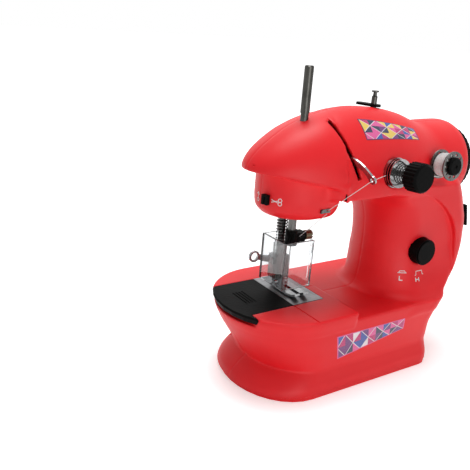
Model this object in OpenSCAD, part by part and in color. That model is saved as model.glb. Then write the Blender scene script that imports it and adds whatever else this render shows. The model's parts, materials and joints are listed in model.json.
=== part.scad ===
// Toy sewing machine: a two-part plastic shell round a small motor, a main shaft, a needle bar,
// a presser bar and the thread path. Millimetres. +X runs from the needle to the handwheel,
// the front faces -Y, and Z = 0 is the table under the feet.

/* [Base] */
// Left end of the foot
foot_left = -77; // [-79:0.5:-75]
// Right end of the foot
foot_right = 77.5; // [76:0.5:80]
// Half depth of the foot
foot_half = 46; // [44:0.5:48]
// Height of the waist between the foot and the bed
waist_z = 18; // [16:0.5:20]
// How far the waist is drawn in at the left end
waist_in = 12.5; // [10:0.5:14]
// Left end of the bed
bed_left = -86.5; // [-88:0.5:-85]
// Half depth of the bed at its rim
bed_half = 49; // [47:0.5:51]
// Height of the flat land round the needle plate
land_z = 60; // [58.5:0.5:62]
// Right edge of that land
land_right = -8; // [-10:0.5:-4]
// Height of the bed's rim beside the column
rim_z = 54; // [53:0.5:55]
// Thickness of the shell's wall
wall = 2.2; // [1.8:0.1:2.6]
// Thickness of the base plate
plate_t = 3; // [2.6:0.1:3.4]
// Radius of the rubber feet
foot_r = 5; // [4:0.5:6]

/* [Column and arm] */
// Left side of the column
column_left = 33.5; // [31:0.5:36]
// Right side of the column at its widest
column_right = 112; // [110:0.5:114]
// Half depth of the column's recessed front
column_half = 29.5; // [28.5:0.5:31]
// Half depth of the raised band round the column
band_half = 34; // [33:0.5:36]
// Underside of the arm
arm_z = 134; // [132:0.5:136]
// Half depth of the arm
arm_half = 35.3; // [34:0.1:37]
// Top of the dome
dome_top = 188.7; // [187:0.1:191]
// Left tip of the brim
brim_left = -76; // [-78:0.5:-75]
// Height of the brim at its left tip
brim_z = 150.5; // [149.5:0.5:151.5]
// Largest radius of the motor pod
pod_r = 31; // [30:0.5:32]
// Length of the motor pod
pod_len = 42; // [41:0.5:43]

/* [Head] */
// Left end of the head below the brim
head_left = -63; // [-65:0.5:-62]
// Right end of the head
head_right = -5; // [-7:0.5:-3]
// Half depth of the head
head_half = 26.5; // [26:0.5:28]
// Underside of the head
head_floor = 118.5; // [117.5:0.5:119.5]

/* [Drive] */
// Height of the main shaft
shaft_z = 146; // [145:0.5:147]
// Depth of the main shaft and of the needle bar, behind the parting plane
drive_y = 4; // [3.5:0.5:4.5]
// Radius of the main shaft
shaft_r = 3; // [2.5:0.1:3.3]
// Radius of the handwheel
wheel_r = 26; // [24:0.5:28]
// Width of the handwheel
wheel_w = 8; // [6:0.5:10]
// Number of grips round the handwheel
wheel_grips = 36; // [24:2:48]
// Tooth size, as pitch diameter over the number of teeth
gear_module = 0.8; // [0.76:0.02:0.84]
// Teeth on the drive gear
gear_teeth = 58; // [56:1:60]
// Teeth on the motor's pinion
pinion_teeth = 12; // [12:1:14]
// Radius of the crank
crank_r = 10; // [8:0.5:11]
// Height of the lower shaft
lower_z = 36; // [35:0.5:37]
// Radius of the lower shaft
lower_r = 2.5; // [2:0.1:3]
// Radius of the belt pulleys
pulley_r = 9; // [8:0.5:10]
// Radius of the motor's can
motor_r = 10; // [9:0.5:10.5]
// Radius of the rotary hook
hook_r = 12; // [10:0.5:12.5]

/* [Needle and presser] */
// Place of the needle along the bed
needle_x = -31.5; // [-33:0.5:-31]
// Distance from the needle bar back to the presser bar
bar_gap = 11; // [10.5:0.5:12]
// Radius of the needle bar
needle_bar_r = 2.8; // [2.4:0.1:3]
// Radius of the presser bar
presser_bar_r = 2.5; // [2:0.1:2.8]
// Radius of the needle
needle_r = 0.45; // [0.35:0.05:0.6]
// Wire of the presser spring
spring_wire = 1; // [0.8:0.1:1.2]
// Curls of the presser spring
spring_curls = 10; // [8:1:11]
// Side of the square of the clear needle guard
guard_w = 24; // [22:0.5:26]
// Height of the clear needle guard
guard_h = 33; // [29:0.5:34]
// Thickness of the clear needle guard
guard_t = 1.2; // [1:0.1:1.6]

/* [Thread parts] */
// Radius of the spool pin
spool_pin_r = 3; // [2.5:0.1:3.5]
// Length of the spool pin above the dome
spool_pin_len = 32.6; // [30:0.2:38]
// Radius of the bobbin's flanges
bobbin_r = 10.2; // [9.5:0.1:10.8]
// Length of the bobbin over its flanges
bobbin_len = 11.6; // [11:0.1:12.5]
// Turns of thread seen on the bobbin
thread_turns = 10; // [8:1:11]
// Diameter of the sewing thread
thread_d = 0.4; // [0.35:0.05:0.45]
// Radius of the tension discs
disc_r = 10; // [9:0.5:10.5]
// Radius of the tension knob
knob_r = 9.6; // [9:0.2:10.4]
// Length of the tension knob
knob_len = 10.5; // [9:0.5:12]
// Width of the take-up slot
slot_w = 2.6; // [2.4:0.1:3.2]

/* [Controls] */
// Radius of the speed button
button_r = 9.75; // [9:0.25:10.5]
// How far the speed button stands out
button_out = 6.8; // [6:0.2:8]
// Height of the power rocker
rocker_h = 13; // [11:0.5:14]
// Width of the power rocker
rocker_w = 8; // [7:0.5:9]

/* [Hidden] */
$fn = 64;

// Running clearance of a shaft, gap between sliding faces, and overlap used in cuts
run = 0.05;
gap = 0.3;
cut = 1;
far = 200;
red = [0.93, 0.2, 0.22];
black = [0.08, 0.08, 0.08];
steel = [0.62, 0.62, 0.64];
chrome = [0.8, 0.8, 0.82];
brass = [0.78, 0.64, 0.35];

plate_z = plate_t;
shaft_at = [0, drive_y, shaft_z];
pod_start = 64;
pod_end = pod_start + pod_len;
bar_y = drive_y + bar_gap;

// Slices of the body: height, left, right, half depth, left rounding, right rounding
foot_outline = [plate_z, foot_left + 0.5, foot_right - 0.2, foot_half - 0.2, 38, 12];
base_rings = [foot_outline,
    [waist_z, foot_left + waist_in, foot_right - 1, foot_half - 4, 34, 13],
    [waist_z + 14, bed_left + 13.5, foot_right - 1, foot_half - 1.5, 42, 14],
    [rim_z - 8, bed_left + 5, foot_right + 4.5, bed_half - 2.5, 46, 16],
    [rim_z - 1, bed_left + 2.2, foot_right + 10.5, bed_half - 2.2, 48, 18],
    [rim_z, bed_left + 3, foot_right + 10, bed_half - 3, 47.5, 18]];
land_rings = [[rim_z - 6, bed_left + 4.5, land_right, bed_half - 2, 48, 4],
    [land_z - 1, bed_left, land_right, bed_half, 50, 4],
    [land_z, bed_left + 1, land_right - 1, bed_half - 1, 49.5, 4]];
column_rings = [[rim_z - 6, column_left - 9.5, foot_right + 4.2, column_half + 15.5, 30, 20],
    [rim_z, column_left - 4.5, foot_right + 9.4, column_half + 12.5, 30, 20],
    [rim_z + 6, column_left - 2, column_right - 17.5, column_half + 8.5, 30, 20],
    [rim_z + 16, column_left - 0.5, column_right - 8, column_half + 3.5, 28, 20],
    [rim_z + 26, column_left, column_right - 2, column_half + 1, 28, 20],
    [rim_z + 36, column_left, column_right, column_half, 28, 20],
    [arm_z - 29, column_left - 1, column_right - 2, column_half + 0.5, 28, 20],
    [arm_z - 14, column_left - 5.5, pod_end, column_half + 2, 26, 20],
    [arm_z - 4, column_left - 15.5, pod_end - 5, column_half + 3.5, 24, 20],
    [arm_z + 3, column_left - 28.5, pod_end - 9, column_half + 4.3, 20, 20]];
band_rings = [[rim_z + 4, column_right - 20.5, column_right - 17.3, band_half + 2, 1.5, 1.5],
    [rim_z + 12, column_right - 14, column_right - 9, band_half + 1, 2, 3],
    [rim_z + 21, column_right - 11.5, column_right - 3, band_half, 2, 6],
    [rim_z + 38, column_right - 14.5, column_right + 1, band_half, 2, 13],
    [arm_z - 26, column_right - 24, column_right - 1.5, band_half, 2, 14],
    [arm_z - 18, column_right - 31.5, pod_end + 1.5, band_half, 2, 14],
    [arm_z - 10, column_right - 42, pod_end - 1.5, band_half, 2, 14],
    [arm_z - 4, column_right - 54, pod_end - 4, band_half - 0.2, 2, 14],
    [arm_z + 1, column_right - 72, pod_end - 6.5, band_half - 0.5, 2, 14],
    [arm_z + 8, column_right - 80, pod_end - 9.5, band_half - 5, 2, 14]];
head_rings = [[head_floor, head_left + 10, head_right - 9, head_half - 8.5, 20, 16],
    [head_floor + 2.5, head_left + 4, head_right - 3, head_half - 3.5, 25, 21],
    [head_floor + 7.5, head_left + 0.5, head_right - 0.5, head_half - 1, 29, 24],
    [head_floor + 13.5, head_left, head_right, head_half, 30, 25],
    [brim_z + 5.5, head_left, head_right, head_half, 30, 25]];
// Left end of the arm's front skirt, which hangs lower than the brim
skirt_x = brim_left + 56;
// Sections of the dome: place along the arm, underside, top, half depth
dome_rings = [[brim_left, brim_z, brim_z + 2, 2],
    [brim_left + 2.5, brim_z - 0.2, brim_z + 6.5, 9],
    [brim_left + 8, brim_z - 0.5, brim_z + 12.5, 16],
    [brim_left + 18, brim_z - 2, dome_top - 18.2, arm_half - 11.8],
    [brim_left + 31, brim_z - 4.5, dome_top - 10.7, arm_half - 5.8],
    [brim_left + 46, brim_z - 7.5, dome_top - 5.2, arm_half - 1.8],
    [skirt_x - 0.8, brim_z - 9.2, dome_top - 3.2, arm_half - 1],
    [skirt_x, arm_z, dome_top - 3, arm_half - 0.9],
    [brim_left + 64, arm_z, dome_top - 1.4, arm_half - 0.3],
    [5, arm_z, dome_top, arm_half],
    [25, arm_z, dome_top - 1.1, arm_half - 0.8],
    [45, arm_z, dome_top - 4.7, arm_half - 1.8],
    [60, arm_z, dome_top - 9.7, arm_half - 3.3],
    [75, arm_z, dome_top - 15.7, arm_half - 5.3],
    [90, arm_z, dome_top - 22.7, arm_half - 9.3]];
// Pod radii along the shaft, as [radius, place]
pod_profile = [[pod_r - 1, pod_start], [pod_r - 0.4, pod_start + 11], [pod_r, pod_end - 18],
    [pod_r - 0.8, pod_end - 8], [pod_r - 2, pod_end - 3], [pod_r - 4, pod_end]];

// Needle plate and slide cover, which lie flush in the land
needle_plate_t = 1.2;
needle_plate_half = 24;
needle_plate_x = [needle_x - 11.5, needle_x + 14.5];
cover_step_x = bed_left + 9.5;
cover_lip = 6;
groove_w = 0.8;

// Heights on the two bars
clamp_z = 95.5;
clamp_h = 9;
needle_tip_z = land_z + 4;
needle_travel = [-20, 4];
bracket_z = head_floor + wall;
bracket_top = bracket_z + 43;
yoke_z = bracket_z + 25.5;
holder_z = [land_z + 6, land_z + 31];
guard_z = land_z + 8.5;
guard_x = needle_x - 17.5;
guard_y = drive_y - 17;
spring_z = [holder_z[1], bracket_z];
lifter_at = [needle_x - 3, bar_y + 4.5 + gap, holder_z[0] + 12];
lifter_t = 1.6;
lifter_len = 15;
spring_mid_r = presser_bar_r + 0.3 + spring_wire/2;

// Slanted plane of the take-up slot: a point on it, its lean, and the lever's pivot in that plane
slot_at = [-10.6, 0, 147];
slot_lean = -21.3;
lever_t = 1.2;
lever_pivot = [drive_y + 12, 11];
lever_eye = [-45.5, 3.6];
eye_at = slot_at + [lever_eye[1]*sin(slot_lean), lever_eye[0], lever_eye[1]*cos(slot_lean)];

// Tension unit and bobbin spindle, which lean a little upward out of the arm
front_lean = 4;
tension_at = [20, -dome_depth(20, 150) - 0.1, 150];
pod_front = sqrt(pod_r*pod_r - pow(152 - shaft_z, 2)) - drive_y;
bobbin_at = [66.8, -max(dome_depth(66.8, 152), pod_front) - 0.1, 152];
knob_w = 15.5;
bobbin_w = 2.4;
spindle_r = 2.8;
spindle_flange_r = 5.5;
bobbin_core_r = 4.2;
thread_wound_r = 8;

button_at = [63, 87.5];
button_travel = 2.5;
flange_y = -column_half + 4.8;
switch_at = [column_right - 2, -22, 108];
switch_lean = -15;
spool_pin_at = [-36.3, -3];
spool_pin_seat = dome_top - 18;
spool_pin_base = dome_top - 6.6;
spool_pin_shoulder = spool_pin_base + 3.4;
spool_seat_r = spool_pin_r - 0.4;
guide_post_at = [26.8, 1];
gear_x = pod_end - 14;
gear_w = 5;
pulley_x = 62;
pulley_w = 5.5;
belt_t = 1.2;
motor_z = shaft_z - gear_module*(gear_teeth + pinion_teeth)/2;
motor_x = pulley_x + 10;
cell_r = 7.25;
cell_len = 50;
cell_x = 5.5;
door_x = [3, 58];
door_y = -32;
door_tongue = 1.2;

// Screw bosses of the shells, as [x, z]
boss_r = 4;
screw_r = 1.3;
base_bosses = [[foot_right - 5, lower_z + 11], [foot_left + 23, 14]];
column_bosses = [[column_right - 12, 88], [column_left + 12, 100]];
dome_bosses = [[50, 162], [brim_left + 20, 158]];

// Route of the upper thread, from the bobbin over the tension discs, take-up lever and head guide
function route(a, b) = [a, (a + b)/2, b];
route_tension = route(bobbin_at + [-1.5, -8.1, -8], tension_at + [10.3, -2.4, -1.5]);
route_take_up = route(tension_at + [-10.3, -2.4, -0.8], eye_at + [1.6, 0.1, -0.2]);
route_guide = route(eye_at + [-0.9, -0.1, -0.8], [-29.4, -28.4, 127.6]);
route_needle = route([-30, -28, 125.1], [-28.6, -1.6, 101]);

function lerp(a, b, u) = a + (b - a)*u;
function column_of(rings, k) = [for (r = rings) [r[0], r[k]]];
function at_height(rings, z) = [for (k = [0:len(rings[0]) - 1]) lookup(z, column_of(rings, k))];
// Half depth of a slice at x
function slice_depth(s, x) =
    x < s[1] + s[4] ? s[3]*sqrt(max(0, 1 - pow((s[1] + s[4] - x)/s[4], 2)))
    : x < s[2] - s[5] ? s[3]
    : s[3] - s[5] + sqrt(max(0, s[5]*s[5] - pow(x - s[2] + s[5], 2)));
function dome_depth(x, z) = let (s = at_height(dome_rings, x))
    s[3]*sqrt(max(0, 1 - pow((z - s[1])/(s[2] - s[1]), 2)));
// Inner slices of a hollow: the first and last move by down and up
function shifted(rings, down, up) = [for (i = [0:len(rings) - 1]) let (r = rings[i])
    [r[0] + (i == 0 ? down : 0) + (i == len(rings) - 1 ? up : 0), for (k = [1:len(r) - 1]) r[k]]];
// Front half of one slice, inset by t, with its flat back at y = back
function slice_ring(s, t, back) =
    let (l = s[1] + t, r = s[2] - t, h = s[3] - t, a = s[4] - t, c = max(s[5] - t, 0.6))
    concat([[l, back, s[0]]],
        [for (i = [0:8]) [l + a - a*cos(90*i/8), -h*sin(90*i/8), s[0]]],
        [for (i = [0:4]) [r - c + c*sin(90*i/4), c - h - c*cos(90*i/4), s[0]]],
        [[r, back, s[0]]]);
function dome_ring(s, t, back) =
    let (lo = s[1] + t, hi = max(s[2] - t, s[1] + t + 0.5), w = max(s[3] - t, 0.5))
    concat([[s[0], back, lo], [s[0], back, hi]],
        [for (i = [0:10]) [s[0], -w*sin(9*i), lo + (hi - lo)*cos(9*i)]]);

module loft(rings) {
    n = len(rings[0]);
    m = len(rings);
    sides = [for (k = [0:m - 2]) for (i = [0:n - 1]) let (j = (i + 1)%n)
        each [[k*n + i, (k + 1)*n + i, (k + 1)*n + j], [k*n + i, (k + 1)*n + j, k*n + j]]];
    polyhedron(points = [for (r = rings) each r],
        faces = concat([[for (i = [0:n - 1]) i]], sides, [[for (i = [n - 1:-1:0]) (m - 1)*n + i]]));
}
module slices(rings, t, back) loft([for (s = rings) slice_ring(s, t, back)]);
module along_x() rotate([0, 90, 0]) children();
module along_y() rotate([-90, 0, 0]) children();
module rod_x(r, x0, x1, y, z) translate([x0, y, z]) along_x() cylinder(r = r, h = x1 - x0);
module rod_y(r, y0, y1, x, z) translate([x, y0, z]) along_y() cylinder(r = r, h = y1 - y0);
module rod_z(r, z0, z1, x, y) translate([x, y, z0]) cylinder(r = r, h = z1 - z0);
module box(lo, hi) translate(lo) cube(hi - lo);
module pod(t) translate(shaft_at) along_x()
    rotate_extrude() polygon(concat([[0, pod_start + t]],
        [for (p = pod_profile) [p[0] - t, min(max(p[1], pod_start + t), pod_end - t)]], [[0, pod_end - t]]));
// Frame of a part that leans out of the arm, with its axis along +Z
module leaning(at) translate(at) rotate([90 - front_lean, 0, 0]) children();
module switch_place() translate(switch_at) rotate([0, switch_lean, 0]) children();
module slot_plane() translate(slot_at) rotate([0, slot_lean, 0]) children();

// One tube along points, with the given sides
function unit(v) = v/norm(v);
function ring_about(p, d, r, n) =
    let (u = unit(abs(d[2]) > 0.9 ? cross(d, [1, 0, 0]) : cross(d, [0, 0, 1])), w = cross(d, u))
    [for (i = [0:n - 1]) p + r*(u*cos(360*i/n) + w*sin(360*i/n))];
module tube(points, r, n) {
    last = len(points) - 1;
    loft([for (i = [0:last]) let (d = points[min(i + 1, last)] - points[max(i - 1, 0)])
        ring_about(points[i], unit(d), r, n)]);
}
// Least distance between a coil's neighbouring turns, face to face
function coil_gap(points, per_turn, wire) =
    min([for (i = [0:len(points) - 1 - per_turn]) norm(points[i + per_turn] - points[i])]) - wire;

module body_half() {
    slices(base_rings, 0, 1);
    slices(land_rings, 0, 2);
    slices(column_rings, 0, 3);
    slices(band_rings, 0, 4);
    slices(head_rings, 0, 5);
    loft([for (s = dome_rings) dome_ring(s, 0, 6)]);
}
module hollow_half() {
    slices(shifted([for (i = [0:4]) base_rings[i]], -cut, 1 - wall), wall, 7);
    slices([land_rings[0], shifted(land_rings, 0, -wall)[2]], wall, 8);
    slices(shifted(column_rings, 0, -wall), wall, 9);
    slices(shifted(head_rings, wall, 0), wall, 10);
    loft([for (i = [2:len(dome_rings) - 1]) let (s = dome_rings[i])
        dome_ring([s[0] + (abs(s[0] - skirt_x) < 1 ? wall : 0), s[1], s[2], s[3]], wall, 11)]);
}
// Openings that both halves of the shell share
module shared_openings() {
    pod(wall);
    box([column_left + 12, -22, arm_z - 14], [pod_end - 10, 26, arm_z + 16]);
    rod_x(6, pod_end - 10, pod_end + cut, drive_y, shaft_z);
    rod_z(spool_seat_r + run, spool_pin_seat, far, spool_pin_at[0], spool_pin_at[1]);
    rod_z(2 + run, dome_top - 10, far, guide_post_at[0], guide_post_at[1]);
    translate([needle_x, drive_y + bar_gap/2, head_floor - cut]) linear_extrude(wall + 2*cut) hull() {
        for (s = [-1, 1]) translate([0, s*bar_gap/2]) circle(r = 5.2, $fn = 32);
    }
    land_openings();
}
module land_openings() {
    px = needle_plate_x;
    box([px[0] - gap, drive_y - needle_plate_half - gap, land_z - needle_plate_t],
        [px[1] + gap, drive_y + needle_plate_half + gap, land_z + cut]);
    box([px[0] + 3, drive_y - needle_plate_half + 3, land_z - 2*wall],
        [px[1] - 3, drive_y + needle_plate_half - 3, land_z + cut]);
    box([cover_step_x - cut, drive_y - needle_plate_half - gap, land_z - needle_plate_t],
        [px[0], drive_y + needle_plate_half + gap, land_z + cut]);
    box([cover_step_x + 3, drive_y - 18, land_z - 2*wall], [px[0] - 3, drive_y + 18, land_z + cut]);
}
// The part of the land that the slide cover's rounded end takes up; t thins it inwards
module cover_end(t, grow) difference() {
    box([bed_left - cut, -far/2, land_z - cover_lip - grow], [cover_step_x + grow, far/2, land_z + cut]);
    mirror_both() slices([[land_z - far/10, bed_left + 1, land_right, bed_half - 1, 49.5, 4],
        [land_z - needle_plate_t - grow, bed_left + 1, land_right, bed_half - 1, 49.5, 4]], t, 0);
}
module mirror_both() {
    children();
    mirror([0, 1, 0]) children();
}
module spool_boss() difference() {
    rod_z(5, spool_pin_seat - 2, dome_top - 9.5, spool_pin_at[0], spool_pin_at[1]);
    rod_z(spool_seat_r + run, spool_pin_seat, far, spool_pin_at[0], spool_pin_at[1]);
}
// A boss ends inside the skin, at the shallowest place of its rim
function skin_depth(kind, x, z) = kind == "base" ? slice_depth(at_height(base_rings, z), x)
    : kind == "column" ? slice_depth(at_height(column_rings, z), x) : dome_depth(x, z);
function boss_end(kind, b) = min([for (u = [0:45:315])
    skin_depth(kind, b[0] + boss_r*cos(u), b[1] + boss_r*sin(u))]) - wall/3;
all_bosses = [for (b = base_bosses) [b[0], b[1], boss_end("base", b)],
    for (b = column_bosses) [b[0], b[1], boss_end("column", b)],
    for (b = dome_bosses) [b[0], b[1], boss_end("dome", b)]];

module front_shell() color(red) {
    intersection() {
        difference() {
            union() {
                body_half();
                pod(0);
            }
            hollow_half();
            shared_openings();
            slot_plane() translate([-slot_w/2, -far/2, 0]) cube([slot_w, far/2 - 8, 37]);
            leaning(tension_at) {
                translate([0, 0, -8]) cylinder(r = 2 + run, h = 20);
                translate([0, 0, -0.6]) cylinder(r = disc_r + gap, h = 20);
            }
            leaning(bobbin_at) {
                translate([0, 0, -8]) cylinder(r = spindle_r + run, h = 20);
                cylinder(r = spindle_flange_r + gap, h = 20);
            }
            rod_y(button_r + gap, -far/2, -column_half + 8, button_at[0], button_at[1]);
            switch_place() {
                translate([-13, -rocker_w/2 - 1, -rocker_h/2 - 1]) cube([26, rocker_w + 2, rocker_h + 2]);
                translate([0.9 - gap, -rocker_w/2 - 2 - gap, -rocker_h/2 - 2 - gap])
                    cube([20, rocker_w + 4 + 2*gap, rocker_h + 4 + 2*gap]);
            }
            cover_end(0.4, gap);
            box([needle_plate_x[0] - groove_w/2, -far/2, land_z - groove_w],
                [needle_plate_x[0] + groove_w/2, drive_y - needle_plate_half, land_z + cut]);
            // Open left end of the skirt
            box([skirt_x - 2, 1.4 + wall - arm_half, arm_z + wall],
                [skirt_x + 2*wall, -head_half + 1, brim_z - 8]);
        }
        box([-far, -far, 0], [far, 0, far + far]);
    }
    intersection() {
        spool_boss();
        box([-far, -far, 0], [far, 0, far + far]);
    }
    for (b = all_bosses) difference() {
        rod_y(boss_r, -b[2], 0, b[0], b[1]);
        rod_y(screw_r + run, -12, cut, b[0], b[1]);
    }
}

module rear_shell() color(red) {
    intersection() {
        difference() {
            union() {
                mirror([0, 1, 0]) body_half();
                pod(0);
            }
            mirror([0, 1, 0]) hollow_half();
            shared_openings();
            cover_end(0.4, gap);
            for (j = jack_places) rod_y(5 + run, 30, far, j[0], j[1]);
            for (b = all_bosses) rod_y(screw_r*2.2, 14, far, b[0], b[1]);
        }
        box([-far, 0, 0], [far, far, far + far]);
    }
    intersection() {
        spool_boss();
        box([-far, 0, 0], [far, far, far + far]);
    }
    for (b = all_bosses) difference() {
        rod_y(boss_r, 0, b[2], b[0], b[1]);
        rod_y(screw_r + run, -cut, far, b[0], b[1]);
        rod_y(screw_r*2.2, 14, far, b[0], b[1]);
    }
}

module shell_screws() color(steel) for (b = all_bosses) {
    rod_y(screw_r, -10, 14, b[0], b[1]);
    rod_y(screw_r*2, 14, 15.6, b[0], b[1]);
}

module outline_plate(t, z0, z1) translate([0, 0, z0]) linear_extrude(z1 - z0) {
    half = [for (p = slice_ring(foot_outline, t, 0)) [p[0], p[1]]];
    n = len(half);
    polygon(concat(half, [for (i = [n - 2:-1:1]) [half[i][0], -half[i][1]]]));
}
bearing_posts = [[-8, -2], [pulley_x + 7.5, pulley_x + 11.5]];
pad_t = 0.8;
foot_places = [[foot_left + 27, -22], [foot_left + 27, 22], [foot_right - 11, -34], [foot_right - 11, 34]];
module base_plate() color(red) {
    difference() {
        outline_plate(0.4, 0, plate_z);
        box([door_x[0], door_y, -cut], [door_x[1], far, plate_z + cut]);
        box([door_x[0] - door_tongue - gap, door_y, plate_z/2 - 1],
            [door_x[1] + door_tongue + gap, far, plate_z/2 + 1]);
        for (p = foot_places) rod_z(foot_r + run, -cut, pad_t, p[0], p[1]);
    }
    for (p = bearing_posts) difference() {
        box([p[0], drive_y - 6, plate_z], [p[1], drive_y + 6, lower_z + lower_r + 3]);
        rod_x(lower_r + run, p[0] - cut, p[1] + cut, drive_y, lower_z);
    }
    difference() {
        box([needle_x - 4.5, bar_y + 6, plate_z], [needle_x + 4.5, bar_y + 12, land_z - 4]);
        rod_y(1.5 + run, 0, far, needle_x, land_z - 7.5);
    }
    box([needle_x - 14, drive_y - 5, plate_z], [needle_x - 6, drive_y + 5, lower_z - hook_r + 1]);
    box([door_x[0] - 4, door_y, plate_z], [door_x[0] - 2, -door_y, plate_z + 9]);
}

module battery_door() color(red) {
    box([door_x[0] + gap, door_y + gap, gap], [door_x[1] - gap, foot_half - 2, plate_z - gap]);
    box([door_x[0] - door_tongue, door_y + gap, plate_z/2 - 1 + gap],
        [door_x[1] + door_tongue, foot_half - 2, plate_z/2 + 1 - gap]);
}

module battery_cells() color(steel) for (i = [0:3]) {
    y = (i - 1.5)*(2*cell_r + 1);
    rod_x(cell_r, cell_x, cell_x + cell_len, y, plate_z + gap + cell_r);
}

module rubber_feet() color(black) for (p = foot_places) rod_z(foot_r, 0, pad_t, p[0], p[1]);

module needle_plate() color(steel) difference() {
    box([needle_plate_x[0], drive_y - needle_plate_half, land_z - needle_plate_t],
        [needle_plate_x[1], drive_y + needle_plate_half, land_z]);
    rod_z(1.3, 0, far, needle_x, drive_y);
    for (s = [-1, 1])
        box([needle_x + s*4.2 - 1.4, drive_y - 9, 0], [needle_x + s*4.2 + 1.4, drive_y + 9, far]);
}

module slide_cover() color(black) difference() {
    intersection() {
        union() {
            cover_end(0.2, 0);
            box([cover_step_x - 4, drive_y - needle_plate_half, land_z - needle_plate_t],
                [needle_plate_x[0] - gap, drive_y + needle_plate_half, land_z]);
        }
        mirror_both() slices(land_rings, 0, 1);
    }
    for (i = [0:3]) {
        x = cover_step_x + 6 + 2.4*i;
        box([x, drive_y - 9, land_z - 0.5], [x + 1.2, drive_y + 9, far]);
    }
}

module head_bracket() color(steel) {
    back = bar_y + 4.5;
    difference() {
        union() {
            box([needle_x - 8, back, bracket_z], [needle_x + 5, back + 2, bracket_top]);
            box([needle_x - 8, drive_y - 6, bracket_z], [needle_x + 5, back + 1, bracket_z + 4]);
            box([needle_x - 8, drive_y - 6, bracket_top - 4], [needle_x + 5, back + 1, bracket_top]);
        }
        rod_z(needle_bar_r + run, 0, far, needle_x, drive_y);
        rod_z(presser_bar_r + run, 0, far, needle_x, bar_y);
        translate([0, drive_y + 9.8, bracket_z - 0.3]) rotate([26, 0, 0]) translate([-far/2, -far/2, -far]) cube(far);
    }
    difference() {
        box([needle_x + 4, back, bracket_z + 30], [needle_x + 23, back + 2, bracket_z + 43]);
        slot_plane() translate([-far/2, -far/2, 34]) cube(far);
    }
    slot_plane() translate([0, lever_pivot[0], lever_pivot[1]]) {
        along_x() cylinder(r = 1.5, h = 5);
        translate([lever_t/2 + gap, -2.5, -2.5]) cube([4, back - lever_pivot[0] + 3.5, 5]);
    }
}

module bearing_block(x0, x1, floor_z) difference() {
    box([x0, drive_y - 7, floor_z], [x1, drive_y + 7, shaft_z + shaft_r + 4]);
    rod_x(shaft_r + run, x0 - cut, x1 + cut, drive_y, shaft_z);
}
module shaft_bearings() color(brass) {
    bearing_block(26, 32, arm_z + wall);
    difference() {
        rod_x(6 - run, pod_end - 6, pod_end, drive_y, shaft_z);
        rod_x(shaft_r + run, 0, far, drive_y, shaft_z);
    }
}

module motor() color(chrome) {
    rod_x(motor_r, motor_x, gear_x - 4, drive_y, motor_z);
    rod_x(3, motor_x - 2, gear_x - 2.6, drive_y, motor_z);
}

module motor_plate() color(steel) difference() {
    x = gear_x - 4;
    depths = [for (z = [-13, 0, 13]) slice_depth(at_height(column_rings, motor_z + z), x + 1.4)];
    back = min(depths) - wall - gap;
    box([x, drive_y - 16, motor_z - 13], [x + 1.4, back, motor_z + 13]);
    rod_x(3 + run, x - cut, x + 2*cut, drive_y, motor_z);
}

module belt_line(r) hull() {
    translate([lower_z, 0]) circle(r = r, $fn = 48);
    translate([shaft_z, 0]) circle(r = r, $fn = 48);
}
module drive_belt() color(black) translate([pulley_x + 0.25, drive_y, 0]) rotate([0, -90, 180])
    linear_extrude(pulley_w - 0.5)
    difference() {
        belt_line(pulley_r + gap + belt_t);
        belt_line(pulley_r + gap);
    }

module bobbin_case() color(steel) {
    x = [needle_x - 18, needle_x - 3.2];
    difference() {
        rod_x(hook_r - 1, x[0], x[1], drive_y, lower_z);
        rod_x(hook_r - 2, x[0] - cut, x[1] - 1.2, drive_y, lower_z);
        rod_x(3, x[0], x[1] + cut, drive_y, lower_z);
        box([x[0] + 3, drive_y - 4, lower_z], [x[1] - 4, drive_y + 4, far]);
    }
}

module spool_pin() color(steel) {
    top = spool_pin_base + spool_pin_len;
    rod_z(spool_seat_r, spool_pin_seat, spool_pin_shoulder + cut, spool_pin_at[0], spool_pin_at[1]);
    rod_z(spool_pin_r, spool_pin_shoulder, top - 0.6, spool_pin_at[0], spool_pin_at[1]);
    translate([spool_pin_at[0], spool_pin_at[1], top - 0.6])
        cylinder(r1 = spool_pin_r, r2 = spool_pin_r - 0.6, h = 0.6);
}

guide_z = at_height(dome_rings, guide_post_at[0])[2];
guide_turn = 106;
module guide_plate() color(black) translate([guide_post_at[0], guide_post_at[1], guide_z + 0.7])
    rotate(guide_turn) linear_extrude(1.6) difference() {
        hull() {
            translate([-1.5, 0]) circle(r = 3.6, $fn = 32);
            translate([10.5, 0]) circle(r = 3, $fn = 32);
        }
        circle(r = 2 + 2*run);
    }

module guide_post() color(steel) translate([guide_post_at[0], guide_post_at[1], 0]) rotate_extrude()
    polygon([[0, guide_z - 6], [2, guide_z - 6], [2, guide_z + 7.5], [1.4, guide_z + 8], [1.2, guide_z + 10],
        [2.5, guide_z + 10.4], [2.5, guide_z + 11.4], [0, guide_z + 11.4]]);

module tension_post() color(steel) leaning(tension_at) {
    translate([0, 0, -6]) cylinder(r = 2, h = 6 + knob_w - 0.9);
    translate([0, 0, -6]) cylinder(r = 4.5, h = 1.4);
}
module dished_disc(r, z, t, dish) translate([0, 0, z]) rotate_extrude()
    polygon([[2.1, 0], [r*0.6, 0], [r, dish], [r, dish + t], [r*0.6, t], [2.1, t]]);
module tension_discs() color(chrome) leaning(tension_at) {
    difference() {
        translate([0, 0, -0.6]) cylinder(r = disc_r, h = 2.4);
        translate([0, 0, -cut]) cylinder(r = 2.1, h = 4);
    }
    dished_disc(disc_r - 0.4, 2, 0.8, 0.5);
    dished_disc(disc_r - 0.4, 3.3, 0.8, 1.4);
}
tension_wire = 0.7;
tension_spring_points = [for (i = [0:40]) let (u = i/40, a = 360*5*u, r = lerp(7, 4.6, u))
    [r*cos(a), r*sin(a), lerp(5.4, knob_w - 1.75, u)]];
module tension_spring() color(steel) leaning(tension_at) tube(tension_spring_points, tension_wire/2, 6);
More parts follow.
